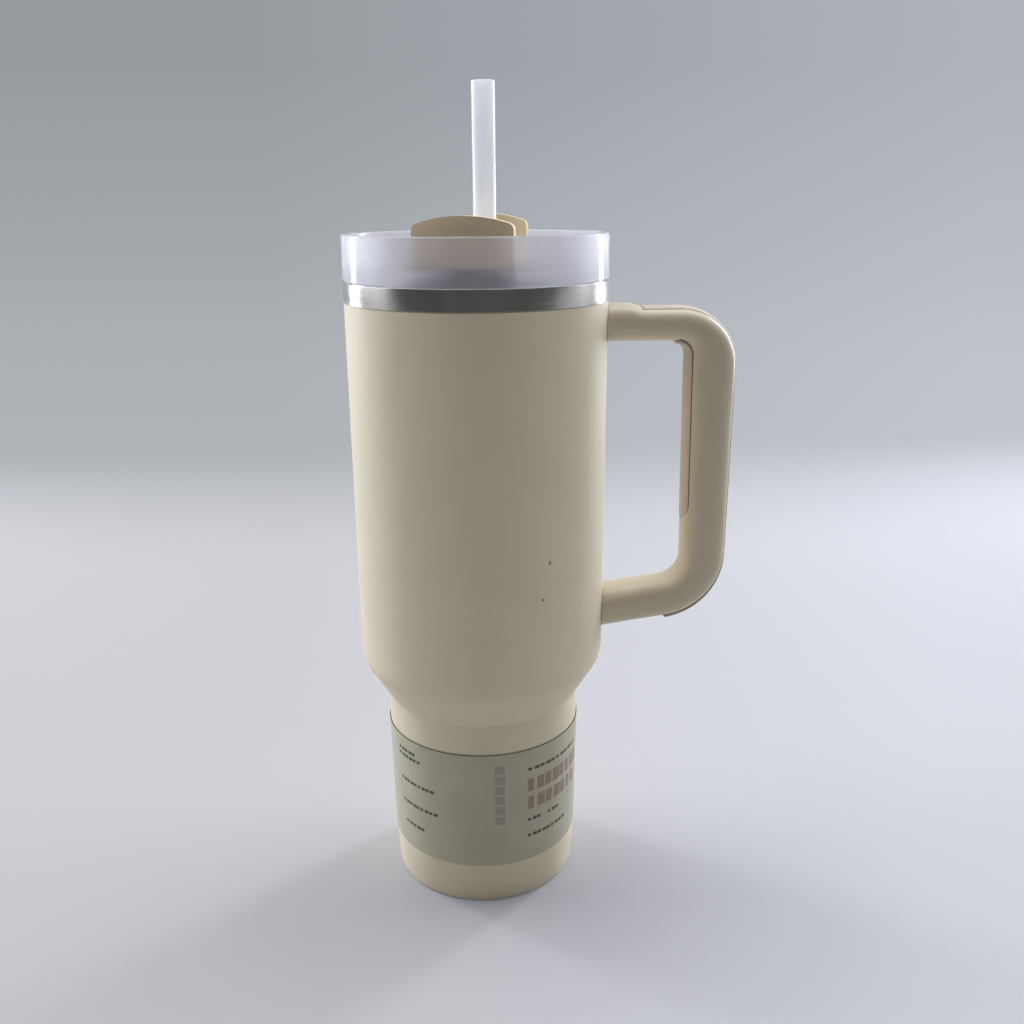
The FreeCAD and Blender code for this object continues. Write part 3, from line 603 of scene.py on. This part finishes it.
# Heights and bearings, in degrees, of the coat's two scuffs.
SCUFFS = [((148.2 * MM, 149.7 * MM), (-60.0, -59.1)), ((134.6 * MM, 135.4 * MM), (-63.2, -62.3))]
LAP_BEARINGS = (84, 92)

# How far the painted shade line round an insert runs past its ends, in stations of the handle's
# path, and how far round the upper inner corner the inner insert starts.
GAP_SHADE_STATIONS = 0.3
INSERT_TURN = 0.10


class Wall:
    """Corners of the cup's parallel walls at a depth below the outside."""

    def __init__(self, cup):
        self.cup = cup
        drop = (cup.body_radius - cup.barrel_radius) / math.tan(cup.shoulder_angle)
        self.neck = cup.shoulder_height - drop

    def shoulder(self, depth):
        """The two corners of the cone, and the one where the barrel begins to taper."""
        cup = self.cup
        lift = depth * math.tan(cup.shoulder_angle / 2)
        return [
            (cup.body_radius - depth, cup.shoulder_height + lift, cup.shoulder_round - depth),
            (cup.barrel_radius - depth, self.neck + lift, cup.neck_round + depth),
            (cup.barrel_radius - depth, cup.taper_height),
        ]

    def outside_at(self, height):
        """Outer radius of the straight body, or of the tapered barrel below it."""
        cup = self.cup
        if height > cup.shoulder_height:
            return cup.body_radius
        slope = (cup.barrel_radius - cup.barrel_low_radius) / (cup.taper_height - cup.barrel_low_height)
        return cup.barrel_low_radius + (height - cup.barrel_low_height) * slope


def sheets(name, wall, patches, out, thickness, steps, material):
    """Thin sheets that lie on the cup, each between two heights and two bearings in degrees."""
    bm = bmesh.new()
    for heights, bearings in patches:
        made = bmesh.ops.create_grid(bm, x_segments=steps, y_segments=1, size=0.5)
        start, end = (math.radians(value) for value in bearings)
        for vert in made["verts"]:
            turn = start + (vert.co.x + 0.5) * (end - start)
            height = heights[0] + (vert.co.y + 0.5) * (heights[1] - heights[0])
            radius = wall.outside_at(height) + out
            vert.co = (radius * math.cos(turn), radius * math.sin(turn), height)
    bmesh.ops.solidify(bm, geom=bm.faces[:], thickness=thickness)
    finish_piece(name, bm, material, "cup")


class TUMBLER_OT_shell(Operator):
    """Spin the powder-coated shell: body, shoulder, barrel and turned-in foot"""

    bl_idname = "tumbler.shell"
    bl_label = "Powder-coated shell"

    def execute(self, context):
        cup, finish = context.scene.tumbler_cup, context.scene.tumbler_finish
        wall = Wall(cup)
        thin = cup.shell_wall
        edge = cup.shell_edge
        outside = [
            (cup.body_radius - edge, cup.shell_height),
            (cup.body_radius, cup.shell_height - edge),
            *wall.shoulder(0.0),
            (cup.barrel_low_radius, cup.barrel_low_height),
            (cup.foot_radius, 0, cup.foot_round),
            (cup.foot_radius - cup.foot_lip, 0),
        ]
        inside = [
            (cup.foot_radius - cup.foot_lip, thin),
            (cup.foot_radius - thin, thin, cup.foot_round - thin),
            (cup.barrel_low_radius - thin, cup.barrel_low_height),
            *reversed(wall.shoulder(thin)),
            (cup.body_radius - thin, cup.shell_height),
        ]
        finish_piece("coated_shell", lathe(outside + inside), powder_coat(finish.coat),
                     "cup", ["outer_shell"])
        sheets("coat_scuffs", wall, SCUFFS, INK_OUT, INK, 2, ink("coat_scuffs", finish.scuff))
        return {"FINISHED"}


class TUMBLER_OT_steel(Operator):
    """Spin the bare steel vessel with its folded rim and band, and finish the steel below the foot"""

    bl_idname = "tumbler.steel"
    bl_label = "Bare steel"

    def execute(self, context):
        cup, finish = context.scene.tumbler_cup, context.scene.tumbler_finish
        wall = Wall(cup)
        thin = cup.shell_wall
        outer = thin + cup.vacuum_gap
        inner = outer + thin
        rim, floor, seam = cup.rim_round, cup.floor_round, cup.seam_depth
        band, top = cup.band_radius, cup.rim_height
        corners = [
            (0, cup.vessel_floor - thin),
            (cup.barrel_low_radius - outer, cup.vessel_floor - thin, floor + thin),
            *reversed(wall.shoulder(outer)),
            (cup.body_radius - outer, top - thin, rim - thin),
            (band - thin, top - thin, rim - thin),
            (band - thin, cup.shell_height),
            (band - cup.band_edge, cup.shell_height),
            (band, cup.shell_height + cup.band_edge),
            (band, top - seam),
            (band - seam, top - seam),
            (band - seam, top, rim / 3),
            (cup.body_radius - inner, top, rim),
            *wall.shoulder(inner),
            (cup.barrel_low_radius - inner, cup.vessel_floor, floor),
            (0, cup.vessel_floor),
        ]
        steel = brushed_steel(finish.steel)
        bm = lathe(corners, closed=False)
        finish_piece("steel_vessel", bm, steel, "cup", ["inner_vessel"])
        plain = plain_steel()
        dress("base_plate", steel)
        for node in ("getter_capsule", "upper_handle_bracket", "lower_handle_bracket", "handle_washers",
                     "handle_screws", "pivot_clip"):
            dress(node, plain)
        dress("vacuum_seal_bead", dark_glass())
        return {"FINISHED"}


def dress(node, material):
    """Gives a node of the frame a better material."""
    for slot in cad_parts[node].material_slots:
        slot.material = material


class TUMBLER_OT_sleeve(Operator):
    """Wrap the paper sleeve round the barrel, with its lapped seam and plain printed shapes"""

    bl_idname = "tumbler.sleeve"
    bl_label = "Paper sleeve"

    def execute(self, context):
        cup, finish = context.scene.tumbler_cup, context.scene.tumbler_finish
        wall = Wall(cup)
        low, high = SLEEVE_LOW.z, SLEEVE_HIGH.z
        inner = [wall.outside_at(z) + cup.sleeve_gap for z in (low, high)]
        outer = [radius + cup.sleeve_thickness for radius in inner]
        paper = card_paper("card_paper", finish.paper)
        bm = lathe([(inner[0], low), (outer[0], low), (outer[1], high), (inner[1], high)])
        finish_piece("paper_wrap", bm, paper, "cup", ["paper_sleeve"])
        # A dark ring over the paper's top and the narrow band of face just below it: painted shade where the
        # sleeve meets the body.
        edge, under = outer[1] + INK, high - cup.edge_shade_height
        shade_ring = lathe([(inner[1], under), (edge, under), (edge, high), (inner[1], high)])
        finish_piece("paper_edge_shade", shade_ring, card_paper("card_core", finish.card_core), "cup")
        surface = cup.sleeve_gap + cup.sleeve_thickness
        lap = [((low, high), LAP_BEARINGS)]
        sheets("paper_lap", wall, lap, surface + cup.lap, cup.lap, 6, paper)
        for name, tone, rows in (
            ("dark_print", finish.ink_dark, self.dark_rows()),
            ("rose_print", finish.ink_rose, self.rose_rows()),
            ("sage_print", finish.ink_sage, self.sage_stack()),
        ):
            sheets(name, wall, rows, surface + INK_OUT, INK, 4, ink(name, tone))
        return {"FINISHED"}

    @staticmethod
    def row(height, tall, start, end, blocks):
        """Plain blocks side by side, in turns wider and narrower; bearings in degrees."""
        step = (end - start) / blocks
        shares = (0.62, 0.86, 0.74, 0.90, 0.68)
        return [
            ((height * MM, (height + tall) * MM), (start + i * step, start + (i + shares[i % 5]) * step))
            for i in range(blocks)
        ]

    def dark_rows(self):
        """Thin dark rows at both sides of the front."""
        rows = []
        for height, start, end, blocks in (
            (62.0, -151, -134, 5), (59.4, -151, -130, 6), (48.2, -150, -121, 9), (38.0, -149, -119, 9),
            (28.4, -147, -129, 5), (59.0, -64, -17, 11), (28.4, -64, -32, 9), (35.8, -64, -54, 3),
            (35.8, -49, -39, 3),
        ):
            rows += self.row(height, 1.3, start, end, blocks)
        return rows

    def rose_rows(self):
        """Two bold rows of blocks at the right of the front."""
        return self.row(49.5, 5.7, -64, -14, 8) + self.row(41.4, 5.7, -64, -18, 7)

    @staticmethod
    def sage_stack():
        """Blocks stacked up the front."""
        return [(((36.8 + i * 4.6) * MM, (36.8 + i * 4.6 + 3.7) * MM), (-84.2, -78.4)) for i in range(6)]


class HandlePath:
    """Matching points on the inside and outside of the handle, from the upper arm to the lower."""

    STRAIGHT = (18, 60, 16)
    CORNER = 20

    def __init__(self, handle, cup):
        self.handle = handle
        root = cup.body_radius - 1.0 * MM
        rise = math.tan(handle.lower_angle)
        half = handle.lower_depth / 2 / math.cos(handle.lower_angle)

        def lower(x, side):
            return Vector((x, handle.lower_height + (x - handle.lower_reach) * rise + side * half))

        sides = (
            (handle.arm_low, handle.inner_high, handle.inner_low, 1,
             handle.inner_corner_high, handle.inner_corner_low),
            (handle.arm_high, handle.outer_high, handle.outer_low, -1,
             handle.outer_corner_high, handle.outer_corner_low),
        )
        inner, outer = (
            self.run([Vector((root, arm)), Vector((high, arm)), lower(low, side), lower(root, side)], *radii)
            for arm, high, low, side, *radii in sides
        )
        self.pairs = [(a, self.with_collar(b)) for a, b in zip(inner, outer)]

    def run(self, corners, high, low):
        """Straights and bends, always with the same number of points."""
        upper = bend(corners[0], corners[1], corners[2], high, self.CORNER)
        lower = bend(corners[1], corners[2], corners[3], low, self.CORNER)
        legs = [(corners[0], upper[0]), (upper[-1], lower[0]), (lower[-1], corners[3])]
        points = []
        for (start, end), count, arc in zip(legs, self.STRAIGHT, (upper, lower, [])):
            points += [start.lerp(end, i / count) for i in range(count)]
            points += arc[:-1] or [end]
        return points

    def with_collar(self, point):
        """Lifts the top of the arm beside the cup."""
        handle = self.handle
        if point.y < handle.arm_high - 0.05 * MM:
            return point
        along = (point.x - handle.collar_reach) / handle.collar_ramp
        along = min(1.0, max(0.0, along))
        share = along * along * (3 - 2 * along)
        return Vector((point.x, handle.collar_high + (handle.arm_high - handle.collar_high) * share))

    def section(self, place, across, side):
        """A point on the surface, for a width across; side is -1 for the inner face and 1 for the outer."""
        inner, outer = self.pair(place)
        half = self.handle.width / 2
        power = self.handle.fullness
        share = max(0.0, 1 - min(1.0, abs(across) / half) ** power) ** (1 / power)
        middle, reach = (inner + outer) / 2, (outer - inner) / 2
        spot = middle + reach * share * side
        return Vector((spot.x, across, spot.y)), Vector((reach.x, 0, reach.y)).normalized() * side

    def pair(self, place):
        """The inner and outer point at a place that may lie between two stations."""
        index = min(int(place), len(self.pairs) - 2)
        share = place - index
        first, second = self.pairs[index], self.pairs[index + 1]
        return first[0].lerp(second[0], share), first[1].lerp(second[1], share)


def handle_tube(path, saddle_radius):
    """The handle's skin, drawn as a sheet along the path and round the section, then closed."""
    last = len(path.pairs) - 1
    bm = bmesh.new()
    bmesh.ops.create_grid(bm, x_segments=last, y_segments=72, size=0.5)
    power = 2 / path.handle.fullness
    half = path.handle.width / 2
    for vert in bm.verts:
        station = round((vert.co.x + 0.5) * last)
        turn = (vert.co.y + 0.5) * math.tau
        inner, outer = path.pairs[station]
        middle, reach = (inner + outer) / 2, (outer - inner) / 2
        out = math.copysign(abs(math.cos(turn)) ** power, math.cos(turn))
        across = half * math.copysign(abs(math.sin(turn)) ** power, math.sin(turn))
        spot = middle + reach * out
        x = spot.x
        if station in (0, last):
            x = math.sqrt(saddle_radius ** 2 - across ** 2)
        vert.co = (x, across, spot.y)
    bmesh.ops.remove_doubles(bm, verts=bm.verts, dist=1e-6)
    bmesh.ops.holes_fill(bm, edges=[edge for edge in bm.edges if edge.is_boundary])
    bmesh.ops.recalc_face_normals(bm, faces=bm.faces)
    return bm


def grip_strip(path, side, start, end, half_width, proud, thickness, round_end):
    """A strip on one face of the handle, from one station to another."""
    bm = bmesh.new()
    bmesh.ops.create_grid(bm, x_segments=90, y_segments=14, size=0.5)
    first, _ = path.section(end, 0, side)
    for vert in bm.verts:
        share, across = vert.co.x + 0.5, vert.co.y * 2
        place = start + (end - start) * share
        spot, _ = path.section(place, 0, side)
        width = half_width
        left = (spot - first).length
        if round_end and left < half_width:
            width = math.sqrt(max(0.0, half_width ** 2 - (half_width - left) ** 2))
        width = max(width, 0.2 * MM)
        spot, outward = path.section(place, across * width, side)
        vert.co = spot + outward * proud
    bmesh.ops.solidify(bm, geom=bm.faces[:], thickness=thickness)
    bmesh.ops.recalc_face_normals(bm, faces=bm.faces)
    return bm


class TUMBLER_OT_handle(Operator):
    """Draw the moulded handle and set its two soft strips into it"""

    bl_idname = "tumbler.handle"
    bl_label = "Handle and grips"

    def execute(self, context):
        scene = context.scene
        handle, cup, finish = scene.tumbler_handle, scene.tumbler_cup, scene.tumbler_finish
        path = HandlePath(handle, cup)
        plastic = moulded_plastic("moulded_handle", finish.moulding)
        finish_piece("moulded_handle", handle_tube(path, cup.body_radius + handle.saddle_gap), plastic,
                     "cup", ["handle_frame"], sharp=50)
        grip = soft_grip("soft_grip", finish.grip)
        # A dark material for the painted shade round each strip.
        line = soft_grip("grip_seam", finish.seam)
        (arm, grip_run, _), corner = HandlePath.STRAIGHT, HandlePath.CORNER
        top = arm + corner
        share = (handle.arm_low - handle.insert_low) / (handle.arm_low - path.pairs[top + grip_run][0].y)
        strips = {
            "inner_grip": (-1, arm + corner * INSERT_TURN, top + grip_run * share,
                           handle.insert_width / 2, True, "inner_grip_insert"),
            "outer_grip": (1, self.station_at(path, handle.back_insert_start), top + grip_run + corner,
                           handle.back_insert_width / 2, False, "outer_grip_insert"),
        }
        for name, (side, start, end, half, round_end, node) in strips.items():
            bm = grip_strip(path, side, start, end, half, handle.proud, handle.insert_depth, round_end)
            finish_piece(name, bm, grip, "cup", [node])
            # A slightly wider dark sheet under each strip: painted shade in the gap round it.
            bm = grip_strip(path, side, start - GAP_SHADE_STATIONS, end + GAP_SHADE_STATIONS, half + handle.seam,
                            handle.gap_shade_proud, handle.seam_depth, round_end)
            finish_piece(f"{name}_seam", bm, line, "cup")
        return {"FINISHED"}

    @staticmethod
    def station_at(path, reach):
        """The station of the upper arm at a distance from the axis."""
        for index, (_, outer) in enumerate(path.pairs):
            if outer.x >= reach:
                return index
        raise ValueError("the outer strip starts beyond the handle")


class TUMBLER_OT_lid(Operator):
    """Spin the milky lid, cut its openings, and finish its seals"""

    bl_idname = "tumbler.lid"
    bl_label = "Lid and seals"

    def execute(self, context):
        lid, finish = context.scene.tumbler_lid, context.scene.tumbler_finish
        low_deck = lid.deck - lid.deck_thickness
        hub_low = lid.deck - lid.hub_depth
        inner_plug = lid.plug_radius - lid.plug_wall
        groove = lid.plug_radius - lid.groove_depth
        groove_high = lid.groove_low + lid.groove_width
        rim = lid.radius - lid.draft
        bm = lathe([
            (0, hub_low),
            (lid.hub_radius, hub_low, 0.5 * MM),
            (lid.hub_radius, low_deck, 0.5 * MM),
            (inner_plug, low_deck, 1.2 * MM),
            (inner_plug, lid.plug_low, 0.5 * MM),
            (lid.plug_radius, lid.plug_low, 0.8 * MM),
            (lid.plug_radius, lid.groove_low),
            (groove, lid.groove_low),
            (groove, groove_high),
            (lid.plug_radius, groove_high),
            (lid.plug_radius, lid.seat),
            (lid.radius, lid.seat, lid.lip_round / 4),
            (rim, lid.top, lid.lip_round),
            (rim - lid.wall, lid.top, lid.lip_round),
            (rim - lid.wall, lid.deck, 1.2 * MM),
            (0, lid.deck),
        ], closed=False)
        over, under = lid.deck + 1 * MM, hub_low - 1 * MM
        straw = (STRAW_PLACE.x, STRAW_PLACE.y)
        toward = Vector((math.cos(lid.cover_bearing), math.sin(lid.cover_bearing)))
        vent = -toward * lid.vent_centre
        bm = carve(bm, [
            rod(lid.pivot_bore, under, over),
            rod(lid.pivot_recess, lid.deck - lid.recess_depth, over),
            rod(lid.grommet_hole, under, over, straw),
            rod(lid.grommet_seat, lid.deck - lid.seat_depth, over, straw),
            rod(lid.vent_radius, under, over, vent, 24),
            self.drink_cutter(lid, toward),
        ])
        plastic = milky_plastic("milky_lid", finish.clear, 0.93, 0.60, 0.05)
        finish_piece("clear_lid", bm, plastic, "lid", ["lid_body"], sharp=30)
        rubber = silicone(finish.silicone)
        for node in ("lid_gasket", "pivot_oring", "straw_grommet", "cover_seal"):
            dress(node, rubber)
        return {"FINISHED"}

    @staticmethod
    def drink_cutter(lid, toward):
        """A block with rounded corners, in the place of the drinking opening."""
        bm = bmesh.new()
        spin = Matrix.Rotation(lid.cover_bearing, 4, "Z")
        size = Matrix.Diagonal((lid.drink_depth, lid.drink_width, 12 * MM, 1))
        place = Matrix.Translation((*(toward * lid.drink_centre), lid.deck))
        bmesh.ops.create_cube(bm, size=1.0, matrix=place @ spin @ size)
        upright = [e for e in bm.edges if abs(e.verts[0].co.z - e.verts[1].co.z) > 1 * MM]
        bmesh.ops.bevel(bm, geom=upright, offset=lid.drink_round, segments=8, profile=0.5, affect="EDGES",
                        material=-1)
        return bm


class TUMBLER_OT_cover(Operator):
    """Soften the edges of the turning cover and give it its cream plastic"""

    bl_idname = "tumbler.cover"
    bl_label = "Turning cover"

    def execute(self, context):
        lid, finish = context.scene.tumbler_lid, context.scene.tumbler_finish
        bm = merged_copy("rotating_cover")
        plastic = moulded_plastic("moulded_cover", finish.cover, 0.38)
        cover = finish_piece("moulded_cover", bm, plastic, "cover", ["rotating_cover"], 30)
        edge = cover.modifiers.new("Soft edges", "BEVEL")
        edge.width = lid.cover_edge
        edge.segments = 4
        edge.limit_method = "ANGLE"
        edge.angle_limit = math.radians(32)
        edge.harden_normals = True
        return {"FINISHED"}


class TUMBLER_OT_straw(Operator):
    """Spin the milky straw"""

    bl_idname = "tumbler.straw"
    bl_label = "Straw"

    def execute(self, context):
        lid, finish = context.scene.tumbler_lid, context.scene.tumbler_finish
        inner = lid.straw_radius - lid.straw_wall
        soft = lid.straw_wall / 3
        bm = lathe([
            (inner, STRAW_LOW.z + soft),
            (inner, STRAW_LOW.z, soft),
            (lid.straw_radius, STRAW_LOW.z, soft),
            (lid.straw_radius, STRAW_HIGH.z, soft),
            (inner, STRAW_HIGH.z, soft),
            (inner, STRAW_HIGH.z - soft * 1.5),
        ], steps=96)
        bmesh.ops.translate(bm, vec=(STRAW_PLACE.x, STRAW_PLACE.y, 0), verts=bm.verts)
        plastic = milky_plastic("milky_straw", finish.straw, 0.40, 0.2, 0.55)
        finish_piece("milky_straw", bm, plastic, "straw", ["straw"])
        return {"FINISHED"}


# ---- Stage ----

# The sweep's tones: from left to right over this span of x by depth, and upwards over this span of height,
# to which each metre behind the axis adds a little.
FAN_SPAN = (-0.2, 0.5)
RISE_SPAN = (0.09, 1.0)
CLIMB_PER_METRE = 0.15

# Where each part of the room's light fades in, along the level bearing's x and y or upwards.
ROOM_LIGHT = {
    "left_wall": (("x", 0.02, -0.02), ("y", -0.28, 0.0)),
    "right_wall": (("x", -0.02, 0.02), ("y", -0.3, 0.25)),
    "back_ceiling": (("up", 0.45, 0.9), ("y", -0.3, 0.3)),
    "front_ceiling": (("up", 0.45, 0.9), ("y", 0.3, -0.3)),
}
TONE_SPAN = (-0.5, 0.2)
FRONT_TONE, BACK_TONE = (1.0, 0.985, 0.965), (0.955, 0.985, 1.02)
LAMP_TONE = (0.93, 0.98, 1.10)

# Bearing in degrees and gain of each strip lamp.
LAMPS = {"left_strip": (146, 1.0), "right_strip": (42, 1.35)}


def seen_rays(tree):
    """One for rays that show the stage: from the camera, in gloss and through clear plastic."""
    rays = tree.add("LightPath").outputs
    either = tree.calculate("MAXIMUM", rays["Is Camera Ray"], rays["Is Glossy Ray"])
    return tree.calculate("MAXIMUM", either, rays["Is Transmission Ray"])


def stage_material(name, stage):
    """Paper sweep: a floor that takes the lamps and shadows, and fades into an even backdrop."""
    sweep = Nodes(bpy.data.materials.new(name))
    sweep.nodes.clear()
    place = sweep.add("SeparateXYZ", {"Vector": sweep.add("TexCoord").outputs["Object"]}).outputs
    ahead = sweep.calculate("ADD", place["Y"], stage.distance + stage.fan_start)
    depth = sweep.calculate("MAXIMUM", ahead, stage.fan_nearest)
    across = sweep.spread(sweep.calculate("DIVIDE", place["X"], depth), *FAN_SPAN)
    away = sweep.calculate("MULTIPLY", place["Y"], CLIMB_PER_METRE)
    rise = sweep.spread(sweep.calculate("ADD", place["Z"], away), *RISE_SPAN)
    back = sweep.ease(place["Y"], stage.floor_edge - stage.fade_before, stage.floor_edge + stage.fade_after)
    low = sweep.blend(across, stage.left_low, stage.right_low)
    high = sweep.blend(across, stage.left_high, stage.right_high)
    near = sweep.blend(across, stage.floor_left, stage.floor_right)
    rays = seen_rays(sweep)
    glow = sweep.add("Emission", {"Color": sweep.blend(rise, low, high), "Strength": rays})
    own = sweep.add("Emission", {"Color": near, "Strength": rays})
    lit = sweep.add("BsdfDiffuse", {"Color": stage.floor})
    floor = sweep.add("AddShader", {0: own.outputs[0], 1: lit.outputs[0]})
    sweep.show(back, floor, glow, sweep.add("OutputMaterial"))
    return sweep.owner


def room_world(stage):
    """A dim front of the room, brighter walls at the sides and behind, and light from above."""
    room = Nodes(bpy.data.worlds.new("studio_air"))
    air = room.nodes["Background"]
    way = room.add("TexCoord").outputs["Generated"]
    level = room.add("VectorMath", {0: way, 1: (1, 1, 0)}, operation="MULTIPLY").outputs[0]
    unit = room.add("VectorMath", {0: level}, operation="NORMALIZE").outputs[0]
    bearing = room.add("SeparateXYZ", {"Vector": unit}).outputs
    ways = {
        "x": bearing["X"],
        "y": bearing["Y"],
        "up": room.add("SeparateXYZ", {"Vector": way}).outputs["Z"],
    }
    total = stage.room
    for name, fades in ROOM_LIGHT.items():
        part = getattr(stage, name)
        for direction, start, end in fades:
            part = room.calculate("MULTIPLY", room.ease(ways[direction], start, end), part)
        total = room.calculate("ADD", total, part)
    tone = room.blend(room.ease(bearing["Y"], *TONE_SPAN), FRONT_TONE, BACK_TONE)
    room.feed(tone, air.inputs["Color"])
    room.feed(total, air.inputs["Strength"])
    seen = room.add("Background", {"Color": stage.left_low})
    rays = room.add("LightPath").outputs
    room.show(rays["Is Camera Ray"], air, seen, room.nodes["World Output"])
    return room.owner


def stage_plane(name, matrix, material):
    """A flat stage piece, from a square of one metre."""
    bm = bmesh.new()
    bmesh.ops.create_grid(bm, x_segments=1, y_segments=1, size=0.5, matrix=matrix)
    mesh = as_mesh(name, bm)
    mesh.materials.append(material)
    piece = stand(name, mesh)


def area_lamp(name, place, aim, size, power):
    """A rectangular lamp that faces a point."""
    lamp = bpy.data.lights.new(name, "AREA")
    lamp.shape = "RECTANGLE"
    lamp.size, lamp.size_y = size
    lamp.energy = power
    lamp.color = LAMP_TONE
    holder = stand(name, lamp)
    holder.location = place
    holder.rotation_mode = "QUATERNION"
    holder.rotation_quaternion = (aim - place).to_track_quat("-Z", "Y")


class TUMBLER_OT_stage(Operator):
    """Set the pale floor and backdrop, the lamps and the camera"""

    bl_idname = "tumbler.stage"
    bl_label = "Stage, lamps and camera"

    def execute(self, context):
        scene = context.scene
        stage = scene.tumbler_stage
        paper = stage_material("paper_sweep", stage)
        flat = Matrix.Translation((0, 0.85, 0)) @ Matrix.Diagonal((6.0, 3.3, 1, 1))
        stage_plane("floor", flat, paper)
        upright = Matrix.Translation((0, 2.5, 1.5)) @ Matrix.Rotation(math.radians(90), 4, "X")
        stage_plane("backdrop", upright @ Matrix.Diagonal((6.0, 3.0, 1, 1)), paper)
        aim, size = Vector((0, 0, stage.lamp_aim)), (stage.lamp_width, stage.lamp_length)
        for name, (bearing, gain) in LAMPS.items():
            turn = Matrix.Rotation(math.radians(bearing), 3, "Z")
            place = turn @ Vector((stage.lamp_distance, 0, stage.lamp_height))
            area_lamp(name, place, aim, size, stage.lamp_strength * gain)
        scene.world = room_world(stage)
        self.place_camera(scene, stage)
        scene.view_settings.view_transform = "Standard"
        return {"FINISHED"}

    @staticmethod
    def place_camera(scene, stage):
        camera = bpy.data.cameras.new("camera")
        camera.lens = stage.lens
        camera.sensor_width = 36.0
        camera.clip_start, camera.clip_end = 0.01, 20.0
        holder = stand("camera", camera)
        ahead = Vector((
            math.sin(stage.yaw) * math.cos(stage.pitch),
            math.cos(stage.yaw) * math.cos(stage.pitch),
            -math.sin(stage.pitch),
        ))
        holder.location = (0, -stage.distance, stage.height)
        holder.rotation_mode = "QUATERNION"
        level = ahead.to_track_quat("-Z", "Y")
        tilt = Matrix.Rotation(stage.roll, 3, ahead).to_quaternion()
        holder.rotation_quaternion = tilt @ level
        scene.camera = holder


class TUMBLER_PT_panel(Panel):
    """Lists the tumbler's pieces and their settings"""

    bl_idname = "TUMBLER_PT_panel"
    bl_label = "Tumbler"
    bl_space_type = "VIEW_3D"
    bl_region_type = "UI"
    bl_category = "Tumbler"

    def draw(self, context):
        for operator in OPERATORS:
            self.layout.operator(operator.bl_idname)
        for name, group in GROUPS.items():
            box = self.layout.box()
            box.label(text=group.__doc__)
            for prop in group.__annotations__:
                box.prop(getattr(context.scene, name), prop, text=prop.replace("_", " ").capitalize())


OPERATORS = [
    TUMBLER_OT_shell,
    TUMBLER_OT_steel,
    TUMBLER_OT_sleeve,
    TUMBLER_OT_handle,
    TUMBLER_OT_lid,
    TUMBLER_OT_cover,
    TUMBLER_OT_straw,
    TUMBLER_OT_stage,
]


def register():
    for item in (*GROUPS.values(), *OPERATORS, TUMBLER_PT_panel):
        bpy.utils.register_class(item)
    for name, group in GROUPS.items():
        setattr(bpy.types.Scene, name, PointerProperty(type=group))


def unregister():
    for name in GROUPS:
        delattr(bpy.types.Scene, name)
    for item in reversed((*GROUPS.values(), *OPERATORS, TUMBLER_PT_panel)):
        bpy.utils.unregister_class(item)


def main():
    register()
    for operator in OPERATORS:
        group, action = operator.bl_idname.split(".")
        getattr(getattr(bpy.ops, group), action)()


if __name__ == "__main__":
    main()
